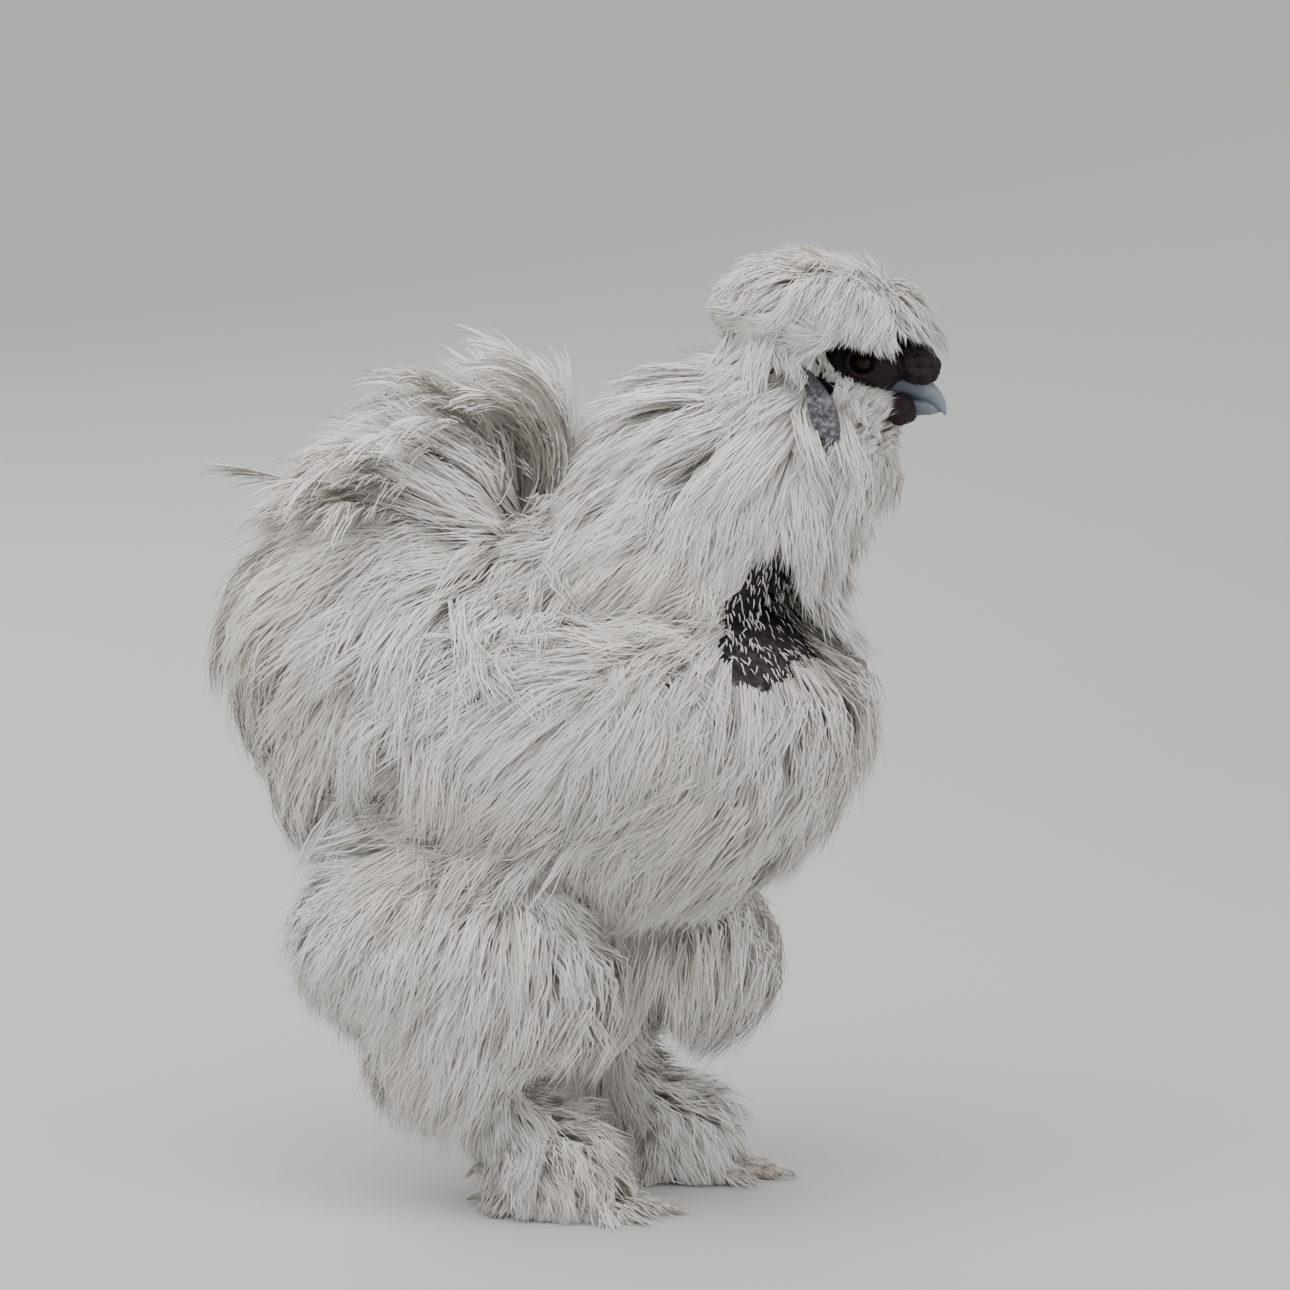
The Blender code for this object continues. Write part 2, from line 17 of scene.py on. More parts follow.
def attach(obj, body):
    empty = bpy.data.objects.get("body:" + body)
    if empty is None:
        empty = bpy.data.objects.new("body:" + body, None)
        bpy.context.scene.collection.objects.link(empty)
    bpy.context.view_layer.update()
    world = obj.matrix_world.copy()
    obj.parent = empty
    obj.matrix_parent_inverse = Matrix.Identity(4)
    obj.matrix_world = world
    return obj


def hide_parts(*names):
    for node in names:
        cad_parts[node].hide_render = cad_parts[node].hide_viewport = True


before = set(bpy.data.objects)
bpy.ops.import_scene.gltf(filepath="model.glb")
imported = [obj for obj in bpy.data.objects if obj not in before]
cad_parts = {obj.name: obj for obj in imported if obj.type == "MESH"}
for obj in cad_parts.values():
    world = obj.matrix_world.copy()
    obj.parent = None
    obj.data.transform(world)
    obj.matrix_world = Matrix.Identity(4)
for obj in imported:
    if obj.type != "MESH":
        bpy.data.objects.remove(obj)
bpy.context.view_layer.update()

bl_info = {
    "name": "Silkie chicken",
    "version": (1, 0, 0),
    "blender": (4, 5, 0),
    "location": "View3D > Sidebar > Silkie",
    "description": "Builds the plumage, skin, head and feet of a silkie chicken round its solids",
    "category": "Add Mesh",
}

MM = 0.001
RIGHT, LEFT = -1, 1
SIDES = {"right": RIGHT, "left": LEFT}
LEG_SPREAD = 38
LEFT_LEG_FORWARD = 32
LEFT_THIGH_FORWARD = 46
EYE_RADIUS = 4.3
EYE_PLACE = (118, 12.6, 330)


# The forms of the body


class Form:
    """An egg-shaped form: centre and radii in millimetres, and how many degrees its front tips up.

    Forward is how far it stands ahead of its twin on the right.
    """

    def __init__(self, centre, radii, pitch=0.0, forward=0.0):
        self.centre = np.array(centre, float) * MM
        self.radii = np.array(radii, float) * MM
        self.forward = forward
        self.turn = np.array(Matrix.Rotation(-math.radians(pitch), 3, "Y"))

    def height(self, points):
        """About how far points stand off the surface, negative inside."""
        local = (points - self.centre) @ self.turn
        near = np.linalg.norm(local / self.radii, axis=-1)
        slope = np.linalg.norm(local / self.radii**2, axis=-1)
        return near * (near - 1) / np.maximum(slope, 1e-9)

    def at(self, directions):
        """The surface points in directions of the form's own unit sphere."""
        return self.centre + (directions * self.radii) @ self.turn.T

    def scattered(self, spacing, chance):
        """Points spread evenly at random over the whole surface, and their directions."""
        inverse = 1 / self.radii
        fullest = inverse.max()
        sample = chance.normal(size=(4000, 3))
        sample /= np.linalg.norm(sample, axis=1, keepdims=True)
        stretch = np.linalg.norm(sample * inverse, axis=1) * np.prod(self.radii)
        count = int(4 * math.pi * stretch.mean() / (spacing * MM) ** 2)
        tries = chance.normal(size=(int(count * 6), 3))
        tries /= np.linalg.norm(tries, axis=1, keepdims=True)
        kept = chance.random(len(tries)) < np.linalg.norm(tries * inverse, axis=1) / fullest
        directions = tries[kept][:count]
        return self.at(directions), directions


def pair(centre, radii, pitch, forward):
    """A form for each side of the bird, of which the left one stands further forward."""
    x, y, z = centre
    return {RIGHT: Form(centre, radii, pitch), LEFT: Form((x + forward, -y, z), radii, pitch, forward)}


SKULL = Form((112, 0, 328), (23, 16, 17), 4)
CREST = Form((98, 0, 350), (33, 29, 15), -6)
BEARD = Form((109, 0, 297), (17, 21, 16), 0)
NECK = Form((74, 0, 281), (57, 29, 36), 60)
CAPE = Form((44, 0, 250), (54, 46, 33), 20)
TORSO = Form((42, 0, 188), (70, 58, 54), 12)
SADDLE = Form((-54, 0, 214), (68, 56, 62), -6)
TAIL = Form((-46, 0, 270), (36, 30, 32), -20)
WING = pair((-4, -63, 188), (62, 13, 34), 14, 0)
THIGH = pair((-38, -43, 102), (55, 29, 35), -10, LEFT_THIGH_FORWARD)
HOCK = pair((-38, -LEG_SPREAD, 58), (21, 17, 20), 30, LEFT_LEG_FORWARD)
INSTEP = pair((0, -LEG_SPREAD, 23), (17, 14, 14), -24, LEFT_LEG_FORWARD)
SHANK = pair((-20, -LEG_SPREAD, 42), (27, 9, 9), -43, LEFT_LEG_FORWARD)

# Deep down fills the hollows behind the neck and under the belly, and spreads over each foot
MANE = Form((38, 0, 286), (36, 25, 23), 38)
BELLY = Form((-8, 0, 150), (84, 46, 32), 0)
BELL = pair((1, -LEG_SPREAD, 9), (21, 17, 27), -12, LEFT_LEG_FORWARD)

# The forms that hold the skin up. Their order sets each one's tile in the map for the bake
SKINNED = [
    CREST, BEARD, NECK, CAPE, TAIL, SADDLE, *WING.values(), TORSO, SKULL, *THIGH.values(),
    *HOCK.values(), *INSTEP.values(), *SHANK.values(),
]
BODY = SKINNED + [MANE, BELLY, *BELL.values()]
BLEND = 22 * MM
PROBE = 0.2 * MM


def stand_off(points):
    """The height of points over the smooth union of the body's forms."""
    lowest = BODY[0].height(points)
    for form in BODY[1:]:
        other = form.height(points)
        mix = np.maximum(BLEND - np.abs(lowest - other), 0) / BLEND
        lowest = np.minimum(lowest, other) - mix * mix * BLEND / 4
    return lowest


def unit(vectors):
    """Vectors at unit length."""
    return vectors / np.maximum(np.linalg.norm(vectors, axis=-1, keepdims=True), 1e-12)


def outward(points):
    """The directions straight off the body."""
    here = stand_off(points)
    steps = np.eye(3) * PROBE
    return unit(np.stack([stand_off(points + step) - here for step in steps], axis=-1))


def settled(points, height):
    """Points moved straight off the body, or back to it, until they stand at a height."""
    for _ in range(2):
        points = points + outward(points) * (height - stand_off(points))[:, None]
    return points


def along(vectors, normals):
    """The part of vectors that lies along the surface, at unit length."""
    return unit(vectors - normals * np.sum(vectors * normals, axis=-1, keepdims=True))


# Meshes


def piece_of(name, mesh, slot, *nodes):
    """Puts a mesh in the scene as a piece of the bird that stands for some of the solids."""
    thing = bpy.data.objects.new(name, mesh)
    bpy.context.scene.collection.objects.link(thing)
    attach(thing, "root")
    if nodes:
        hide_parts(*nodes)
    return thing


def mesh_from(shape, name):
    """A mesh from a finished bmesh, with its faces turned outwards."""
    bmesh.ops.recalc_face_normals(shape, faces=shape.faces)
    mesh = bpy.data.meshes.new(name)
    shape.to_mesh(mesh)
    shape.free()
    mesh.shade_smooth()
    return mesh


def add_attribute(mesh, name, values):
    """Stores one number for each point of a mesh."""
    layer = mesh.attributes.new(name, "FLOAT", "POINT")
    layer.data.foreach_set("value", np.ascontiguousarray(values, np.float32))


TUFT_PATCH = 0.003
ATLAS_SIDE = 5


def patch_corners(form, directions):
    """Where tufts lie on an unwrap of the body, on which each form has a tile of its own."""
    tile = BODY.index(form)
    turn = np.arctan2(directions[:, 1], directions[:, 0]) / (2 * math.pi) + 0.5
    rise = directions[:, 2] / 2 + 0.5
    column, row = tile % ATLAS_SIDE, tile // ATLAS_SIDE
    margin = TUFT_PATCH * ATLAS_SIDE
    place = np.stack([turn, rise], axis=-1) * (1 - 2 * margin) + margin
    return (place + np.array([column, row])) / ATLAS_SIDE


class Strands:
    """Thin tapered strands, gathered as arrays and made into one mesh."""

    def __init__(self):
        self.batches = []

    def add(self, points, sides, widths, tints, patches, normals):
        """Adds strands: centre points and normals (count, rings + 1, 3), sides and widths for each ring."""
        faces = np.cross(np.diff(points, axis=1), sides)
        hand = np.where(np.sum(faces * normals[:, :-1], axis=(1, 2)) < 0, -1.0, 1.0)
        self.batches.append((points, sides * hand[:, None, None], widths, tints, patches, normals))

    def mesh(self, name):
        """One mesh of all strands, with their shade, their length and the map for their bake."""
        coords, corners, starts, share, tint, patch, facing = [], [], [], [], [], [], []
        first = loops = 0
        for points, sides, widths, tints, patches, normals in self.batches:
            count, rings = widths.shape
            half = sides * (widths / 2)[..., None]
            pairs = np.stack([points[:, :-1] + half, points[:, :-1] - half], axis=2)
            own = 2 * rings + 1
            everything = np.concatenate([pairs.reshape(count, 2 * rings, 3), points[:, -1:]], axis=1)
            coords.append(everything.reshape(-1, 3))
            twice = np.repeat(normals[:, :-1], 2, axis=1)
            facing.append(np.concatenate([twice, normals[:, -1:]], axis=1).reshape(-1, 3))
            level = 2 * np.arange(rings - 1)
            quads = np.stack([level, level + 1, level + 3, level + 2], axis=-1).reshape(-1)
            face_corners = np.concatenate([quads, [own - 3, own - 2, own - 1]])
            base = first + own * np.arange(count)
            corners.append((base[:, None] + face_corners).reshape(-1))
            face_starts = np.concatenate([4 * np.arange(rings - 1), [4 * (rings - 1)]])
            starts.append((loops + len(face_corners) * np.arange(count)[:, None] + face_starts).reshape(-1))
            steps = np.repeat(np.arange(rings) / rings, 2)
            steps = np.concatenate([steps, [1.0]])
            share.append(np.tile(steps, count))
            tint.append(np.repeat(tints, own))
            across = np.concatenate([np.tile([0.0, 1.0], rings), [0.5]])
            spot = np.stack([across, steps], axis=-1) * TUFT_PATCH
            patch.append((patches[:, None] + spot).reshape(-1, 2))
            first += own * count
            loops += len(face_corners) * count
        coords, corners, starts = np.concatenate(coords), np.concatenate(corners), np.concatenate(starts)
        mesh = bpy.data.meshes.new(name)
        mesh.vertices.add(len(coords))
        mesh.vertices.foreach_set("co", coords.astype(np.float32).reshape(-1))
        mesh.loops.add(len(corners))
        mesh.loops.foreach_set("vertex_index", corners.astype(np.int32))
        mesh.polygons.add(len(starts))
        mesh.polygons.foreach_set("loop_start", starts.astype(np.int32))
        mesh.update(calc_edges=True)
        mesh.shade_smooth()
        add_attribute(mesh, "along", np.concatenate(share))
        add_attribute(mesh, "tint", np.concatenate(tint))
        layer = mesh.uv_layers.new(name="OFBake")
        layer.data.foreach_set("uv", np.concatenate(patch)[corners].astype(np.float32).reshape(-1))
        mesh.normals_split_custom_set_from_vertices(np.concatenate(facing).astype(np.float32))
        return mesh


def swept(rings, tip=None):
    """A closed bmesh through rings of corners, each extruded from the last, pointed if a tip is given."""
    shape = bmesh.new()
    corner_of = shape.verts.layers.int.new("corner")
    bmesh.ops.create_circle(shape, cap_ends=True, segments=len(rings[0]), radius=1)
    for index, vertex in enumerate(shape.verts):
        vertex[corner_of] = index
    root = end = shape.faces[:][0]
    for index, ring in enumerate(rings):
        if index:
            end = extruded(shape, end, root)
        for vertex in end.verts:
            vertex.co = ring[vertex[corner_of]]
    if tip:
        end = extruded(shape, end, root)
        bmesh.ops.pointmerge(shape, verts=end.verts[:], merge_co=tip)
    return shape


def extruded(shape, end, root):
    """The new end face after extruding the last one, which goes unless it closes the root."""
    moved = bmesh.ops.extrude_face_region(shape, geom=[end])["geom"]
    if end is not root:
        bmesh.ops.delete(shape, geom=[end], context="FACES_ONLY")
    return next(item for item in moved if isinstance(item, bmesh.types.BMFace))


def oval_rings(centres, breadths, depths, corners, keel=0.0):
    """Rings of corners square to a line of centres in millimetres, sharper above and below by a keel."""
    path = [Vector(centre) * MM for centre in centres]
    rings = []
    for index, centre in enumerate(path):
        ahead = (path[min(index + 1, len(path) - 1)] - path[max(index - 1, 0)]).normalized()
        side = Vector((0, 0, 1)).cross(ahead)
        side = side.normalized() if side.length > 0.1 else Vector((0, 1, 0))
        up = ahead.cross(side)
        ring = []
        for corner in range(corners):
            angle = 2 * math.pi * (corner + 0.5) / corners
            breadth = breadths[index] * math.cos(angle) * (1 - keel * abs(math.sin(angle)))
            ring.append(centre + (side * breadth + up * math.sin(angle) * depths[index]) * MM)
        rings.append(ring)
    return rings


def smooth_steps(values, count):
    """Values at evenly spaced places along a smooth line through some given ones."""
    values = np.array(values, float)
    places = np.linspace(0, len(values) - 1, count)
    lower = np.clip(places.astype(int), 0, len(values) - 2)
    share = places - lower
    if values.ndim > 1:
        share = share[:, None]
    before = values[np.maximum(lower - 1, 0)]
    after = values[np.minimum(lower + 2, len(values) - 1)]
    here, there = values[lower], values[lower + 1]
    leaving, arriving = (there - before) / 2, (after - here) / 2
    return (
        here * (1 + 2 * share) * (1 - share) ** 2 + leaving * share * (1 - share) ** 2
        + there * share**2 * (3 - 2 * share) - arriving * share**2 * (1 - share)
    )


# Shader maths


class Wire:
    """A value in a material, so that shader maths reads as sums."""

    def __init__(self, finish, socket):
        self.finish, self.socket = finish, socket

    def _with(self, operation, first, second=0.0):
        made = self.finish.node("ShaderNodeMath", {"operation": operation}, {0: first, 1: second})
        return made("Value")

    def __add__(self, other):
        return self._with("ADD", self, other)

    def __radd__(self, other):
        return self._with("ADD", other, self)

    def __sub__(self, other):
        return self._with("SUBTRACT", self, other)

    def __rsub__(self, other):
        return self._with("SUBTRACT", other, self)

    def __mul__(self, other):
        return self._with("MULTIPLY", self, other)

    def __rmul__(self, other):
        return self._with("MULTIPLY", other, self)

    def __truediv__(self, other):
        return self._with("DIVIDE", self, other)

    def __pow__(self, other):
        return self._with("POWER", self, other)

    def least(self, other):
        """The smaller of two values."""
        return self._with("MINIMUM", self, other)

    def most(self, other):
        """The larger of two values."""
        return self._with("MAXIMUM", self, other)

    def held(self):
        """The value held between nothing and one."""
        return self.most(0.0).least(1.0)

    def ramp(self, low, high):
        """A smooth step from nothing at a low value to one at a high one."""
        made = self.finish.node(
            "ShaderNodeMapRange", {"interpolation_type": "SMOOTHSTEP"},
            {"Value": self, "From Min": low, "From Max": high},
        )
        return made("Result")


# Sets the finishes' names apart from those of the solids' own materials
OWN = "silkie "


class Finish:
    """A material under construction, and the ways to add to it."""

    def __init__(self, name, roughness, **constants):
        self.material = bpy.data.materials.new(OWN + name)
        self.material.use_nodes = True
        self.tree = self.material.node_tree
        self.shader = self.tree.nodes["Principled BSDF"]
        self.shader.inputs["Roughness"].default_value = roughness
        for socket, value in constants.items():
            self.shader.inputs[socket.replace("_", " ")].default_value = value

    def node(self, kind, settings, values):
        """Adds a node: its settings first, then the values or wires of its sockets. Gives its outputs."""
        made = self.tree.nodes.new(kind)
        for name, setting in settings.items():
            setattr(made, name, setting)
        for name, value in values.items():
            if isinstance(value, Wire):
                self.tree.links.new(value.socket, made.inputs[name])
            else:
                made.inputs[name].default_value = value
        return lambda output: Wire(self, made.outputs[output])

    def feed(self, socket, wire):
        """Links a wire to a socket of the shader."""
        self.tree.links.new(wire.socket, self.shader.inputs[socket])

    def place(self):
        """The place on the piece, from its own origin."""
        return self.node("ShaderNodeTexCoord", {}, {})("Object")

    def axes(self):
        """The three numbers of the place."""
        parts = self.node("ShaderNodeSeparateXYZ", {}, {"Vector": self.place()})
        return parts("X"), parts("Y"), parts("Z")

    def attribute(self, name):
        """A number stored on the piece's points."""
        return self.node("ShaderNodeAttribute", {"attribute_name": name}, {})("Fac")

    def grain(self, scale, detail=3.0, stretch=(1, 1, 1)):
        """Smooth noise, centred near a half."""
        mapped = self.node("ShaderNodeMapping", {}, {"Vector": self.place(), "Scale": stretch})("Vector")
        made = self.node(
            "ShaderNodeTexNoise", {}, {"Vector": mapped, "Scale": scale, "Detail": detail}
        )
        return made("Fac")

    def pebbles(self, scale):
        """The distance to the nearest of many scattered points."""
        made = self.node("ShaderNodeTexVoronoi", {}, {"Vector": self.place(), "Scale": scale})
        return made("Distance")

    def blend(self, share, first, second):
        """A colour between two colours."""
        first, second = [colour if isinstance(colour, Wire) else (*colour, 1) for colour in (first, second)]
        return self.node("ShaderNodeMix", {"data_type": "RGBA"}, {0: share, 6: first, 7: second})(2)

    def bump(self, height, strength, distance):
        """Raises the surface by a height."""
        values = {"Height": height, "Strength": strength, "Distance": distance}
        self.feed("Normal", self.node("ShaderNodeBump", {}, values)("Normal"))

    def surface(self, colour, roughness, height, strength, distance):
        """Feeds a colour, a roughness and a relief, and gives the finished material."""
        self.feed("Base Color", colour)
        self.feed("Roughness", roughness)
        self.bump(height, strength, distance)
        return self.material


# Finishes


def plumage_finish(look):
    """White silky plumage: warmer and darker at the roots as painted shade, paler at the tips, a little
    cream in places.
    """
    finish = Finish("plumage", 0.8)
    share, tint = finish.attribute("along"), finish.attribute("tint")
    cream = finish.grain(14, 1).ramp(0.45, 0.7) * 0.6
    body = finish.blend(cream, tuple(look.tip_colour), tuple(look.cream_colour))
    # Painted shade: each strand darkens and warms towards its root, where the plumage shades itself
    root_shade = (1 - share.ramp(0.0, 0.75)) * 0.85
    colour = finish.blend(root_shade, body, tuple(look.root_shade_colour))
    shade = (0.5 - tint) * look.shade_range
    colour = finish.blend(shade.held(), colour, tuple(look.shade_colour))
    finish.feed("Base Color", colour)
    finish.feed("Roughness", 0.72 + 0.16 * tint)
    return finish.material


def down_finish(look):
    """The down next to the skin, and the bare slate skin over the crop."""
    finish = Finish("down", 0.9)
    x, y, z = finish.axes()
    across, up = (x - BARE_CROP.centre[0] * MM) * 1000, (z - BARE_CROP.centre[1] * MM) * 1000
    reach = ((across * across) / BARE_CROP.radii[0] ** 2 + (up * up) / BARE_CROP.radii[1] ** 2) ** 0.5
    ragged = reach + (finish.grain(260) - 0.5) * 0.5
    bare = (1 - ragged.ramp(1.25, 1.5)) * (1 - y.ramp(0.008, 0.013))
    # The down is mottled between the tips' colour and the painted root shade
    down = finish.blend(finish.grain(120), tuple(look.root_shade_colour), tuple(look.tip_colour))
    skin = finish.blend(finish.grain(420).ramp(0.35, 0.7), (0.014, 0.011, 0.013), (0.055, 0.044, 0.050))
    finish.feed("Base Color", finish.blend(bare, down, skin))
    finish.bump(finish.grain(500, 6), 0.5, 0.0015)
    return finish.material


def face_finish(look):
    """Dark mulberry skin with fine pebbles and folds."""
    finish = Finish("face skin", 0.5, Specular_IOR_Level=0.22)
    pebble = finish.pebbles(1100)
    patches = finish.grain(150).ramp(0.4, 0.7)
    colour = finish.blend(patches, tuple(look.skin_colour), tuple(look.flush_colour))
    colour = finish.blend((1 - pebble.ramp(0.0, 0.5)) * 0.2, colour, (0.06, 0.04, 0.055))
    relief = pebble + 0.6 * finish.grain(700)
    return finish.surface(colour, 0.42 + 0.3 * finish.grain(300), relief, 0.55, 0.0008)


def lobe_finish(look):
    """Slate skin, mottled dark, with pale dry wrinkles."""
    finish = Finish("lobe skin", 0.55, Specular_IOR_Level=0.3)
    mottle = finish.grain(520, 5).ramp(0.36, 0.66)
    colour = finish.blend(mottle, tuple(look.lobe_colour), tuple(look.lobe_pale_colour))
    rim = finish.attribute("rim")
    top = finish.axes()[2].ramp(0.3175, 0.3215)
    dark = (rim.ramp(0.62, 0.98) * 0.9).most(top * 0.75)
    colour = finish.blend(dark, colour, (0.028, 0.022, 0.03))
    relief = finish.pebbles(700) + finish.grain(900)
    return finish.surface(colour, 0.45 + 0.3 * mottle, relief, 0.6, 0.0008)


def horn_finish(look):
    """Slate blue horn, paler towards the tip of the bill, with faint growth lines."""
    finish = Finish("horn", 0.38, Coat_Roughness=0.3)
    tip = finish.axes()[0].ramp(0.134, 0.148)
    lines = finish.grain(260, 4, (0.35, 1, 1.6))
    colour = finish.blend(tip, tuple(look.horn_colour), tuple(look.horn_tip_colour))
    colour = finish.blend((lines - 0.45).held(), colour, (0.04, 0.045, 0.06))
    return finish.surface(colour, 0.3 + 0.25 * lines, lines, 0.25, 0.0006)


def eye_finish():
    """A glossy eye: black pupil in a very dark brown ring."""
    finish = Finish("eye", 0.06, Specular_IOR_Level=0.16)
    x, _, z = finish.axes()
    across, up = (x - EYE_PLACE[0] * MM) * 1000, (z - EYE_PLACE[2] * MM) * 1000
    reach = (across * across + up * up) ** 0.5
    iris = reach.ramp(1.3, 1.6) * (1 - reach.ramp(2.9, 3.4))
    finish.feed("Base Color", finish.blend(iris, (0.003, 0.0025, 0.0025), (0.013, 0.007, 0.005)))
    return finish.material


def foot_finish(look):
    """Dusty grey-pink foot skin with darker creases between the scutes."""
    finish = Finish("foot skin", 0.6)
    crease = 1 - finish.attribute("scute").ramp(0.1, 0.6)
    dust = finish.grain(220, 4)
    colour = finish.blend(dust.ramp(0.35, 0.7), tuple(look.foot_colour), tuple(look.foot_pale_colour))
    colour = finish.blend(crease * 0.6, colour, (0.13, 0.09, 0.08))
    relief = finish.pebbles(1300) * 0.5 + finish.grain(700)
    return finish.surface(colour, 0.5 + 0.25 * dust, relief, 0.4, 0.0006)


def claw_finish(look):
    """Pale horn with lines along the claw."""
    finish = Finish("claw", 0.42)
    lines = finish.grain(500, 3)
    colour = finish.blend(lines.ramp(0.3, 0.7), tuple(look.claw_colour), (0.25, 0.21, 0.19))
    return finish.surface(colour, 0.35 + 0.2 * lines, lines, 0.2, 0.0004)


# Bare places, where no strand may lie


class Bare:
    """A bare patch seen from the side: centre (x, z), radii and tilt.

    It shows on the given sides of the bird, from an inner distance off the middle outwards.
    """

    def __init__(self, centre, radii, pitch, sides, inner):
        self.centre, self.radii, self.pitch = centre, radii, math.radians(pitch)
        self.sides, self.inner = sides, inner

    def reach(self, points):
        """How far out points are, one on the edge of the patch."""
        across = points[..., 0] / MM - self.centre[0]
        up = points[..., 2] / MM - self.centre[1]
        ahead = across * math.cos(self.pitch) + up * math.sin(self.pitch)
        above = up * math.cos(self.pitch) - across * math.sin(self.pitch)
        found = np.sqrt((ahead / self.radii[0]) ** 2 + (above / self.radii[1]) ** 2)
        y = points[..., 1] / MM
        shown = np.zeros(y.shape, bool)
        for side in self.sides:
            shown |= y * side > self.inner
        return np.where(shown, found, 9.0)


BARE_FACE = Bare((124, 326.5), (25, 6.2), -19, (RIGHT, LEFT), 0)
BARE_LOBE = Bare((104, 311.5), (3.8, 13), 21, (RIGHT, LEFT), 16)
BARE_CROP = Bare((84, 233), (16, 22), 0, (RIGHT,), -9)
BARE_BEAK = Bare((140, 322), (11, 15), 0, (RIGHT, LEFT), -1)
BARE_FRONT = Bare((170, 345), (24, 42), 0, (RIGHT, LEFT), -1)
BARE = [BARE_FACE, BARE_LOBE, BARE_CROP, BARE_BEAK, BARE_FRONT]


# The plumage


class Coat:
    """How the plumage of one form lies, with sizes in millimetres.

    Tufts run away from the pole and droop by the fall. They stand higher towards the front and grow
    longer on the underside by the shares front and low, and only where they are wanted.
    """

    def __init__(self, pole, fall, length, stand, spacing, strands, **more):
        self.pole, self.fall, self.length, self.stand = pole, fall, length, stand
        self.spacing, self.strands = spacing, strands
        self.breadth = more.get("breadth", 0.95)
        self.lock = more.get("lock", 14)
        self.gather = more.get("gather", 0.4)
        self.frizz = more.get("frizz", 1.4)
        self.fan = more.get("fan", 3.0)
        self.rings = more.get("rings", 3)
        self.front, self.low = more.get("front", 0.0), more.get("low", 0.0)
        self.wanted = more.get("wanted", lambda place: np.ones(len(place), bool))

    def loosened(self):
        """The stray strands of this coat: few, fine and unruly."""
        stray = copy.copy(self)
        stray.strands = max(self.strands // 8, 1)
        stray.breadth, stray.fan, stray.frizz = self.breadth * 0.6, self.fan * 1.8, self.frizz * 1.9
        return stray


COATS = {
    "crest": Coat((114, 0, 368), -0.02, 27, 9, 2.2, 16, breadth=0.58, fan=2.8, gather=0.15, lock=9,
                  front=0.5, wanted=lambda place: place[:, 2] > 341),
    "crown": Coat((160, 0, 366), 0.0, 24, 10, 2.0, 16, breadth=0.58, fan=3.2, gather=0.1, lock=7, rings=2,
                  wanted=lambda place: (np.hypot(place[:, 0] - 117, place[:, 1]) < 15)
                  & (place[:, 2] > 350)),
    "nape": Coat((130, 0, 372), 0.4, 50, 10, 2.9, 12, breadth=0.6, gather=0.3, lock=9,
                 wanted=lambda place: (place[:, 2] < 356) & (place[:, 0] < 94)),
    "cheek": Coat((103, 0, 303), -0.1, 13, 4.5, 1.7, 13, breadth=0.5, fan=1.4, frizz=0.7, gather=0.2,
                  lock=7, rings=2, wanted=lambda place: (place[:, 2] < 332) & (place[:, 0] < 128)),
    "beard": Coat((126, 0, 316), 0.5, 26, 10, 2.0, 19, breadth=0.6, fan=2.2, gather=0.25, lock=10,
                  rings=2, wanted=lambda place: place[:, 2] < 311),
    "neck": Coat((106, 0, 338), 0.3, 50, 17, 3.1, 15, breadth=0.72, gather=0.3, frizz=1.9,
                 wanted=lambda place: place[:, 2] < 343),
    "mane": Coat((106, 0, 338), 0.25, 52, 15, 3.3, 13, breadth=0.72, gather=0.3, frizz=2.0),
    "cape": Coat((80, 0, 284), 0.25, 54, 16, 3.5, 16, breadth=0.76, gather=0.3, frizz=2.0),
    "tail": Coat((-16, 0, 262), 0.0, 50, 24, 3.2, 16, breadth=0.72, gather=0.3, rings=2, frizz=2.6, fan=4,
                 front=0.4),
    "saddle": Coat((-18, 0, 262), 0.14, 56, 20, 4.2, 13, breadth=0.82, gather=0.3, frizz=2.4,
                   low=0.45),
    "wing": Coat((95, 0, 250), 0.4, 50, 16, 3.7, 15, breadth=0.76, gather=0.3, lock=12, frizz=2.0, low=0.55,
                 wanted=lambda place: np.abs(place[:, 1]) > 56),
    "shoulder": Coat((40, 0, 300), 0.3, 36, 12, 3.4, 14, breadth=0.75, gather=0.2, frizz=2.0,
                     wanted=lambda place: (np.abs(place[:, 1]) > 50) & (place[:, 0] > 26)),
    "torso": Coat((80, 0, 230), 0.3, 42, 16, 4.0, 19, breadth=0.78, gather=0.15, frizz=2.6, rings=2,
                  fan=4.4, low=0.5),
    "belly": Coat((10, 0, 240), 1.2, 40, 16, 4.2, 16, breadth=0.8, gather=0.2, frizz=2.6, rings=2,
                  fan=4.4),
    "thigh": Coat((8, 0, 160), 0.5, 42, 15, 3.8, 18, breadth=0.78, gather=0.15, frizz=2.6, lock=10, rings=2,
                  fan=4.4, front=0.8),
    "hock": Coat((-24, 0, 78), 0.35, 27, 9, 2.9, 15, breadth=0.65, gather=0.2, lock=8, rings=2, fan=3.4),
    "shank": Coat((-44, 0, 78), 0.6, 26, 8, 2.3, 12, breadth=0.6, gather=0.15, lock=8, rings=2),
    "bell": Coat((-10, 0, 66), 0.4, 22, 10, 2.6, 14, breadth=0.6, gather=0.25, lock=8, rings=2, fan=3.6,
                 frizz=2.2, front=0.4, wanted=lambda place: place[:, 2] > 9),
}
LOCK_SUNK = 3.5 * MM
LEAVING_RISE = 2.0
LANDING_RISE = 0.3
FOOT_STEPS = 3
ROOT_COVER = 3.5 * MM
CUT_SAMPLES = 14
LEAST_SHARE = 0.22
FLOOR_GAP = 0.4 * MM


def hermite(curve, share):
    """Points a share of the way along cubics between two ends with given slopes."""
    start, leaving, end, landing = curve
    back = share - 1
    return (
        start * (1 + 2 * share) * back**2 + leaving * share * back**2
        + end * share**2 * (3 - 2 * share) + landing * share**2 * back
    )


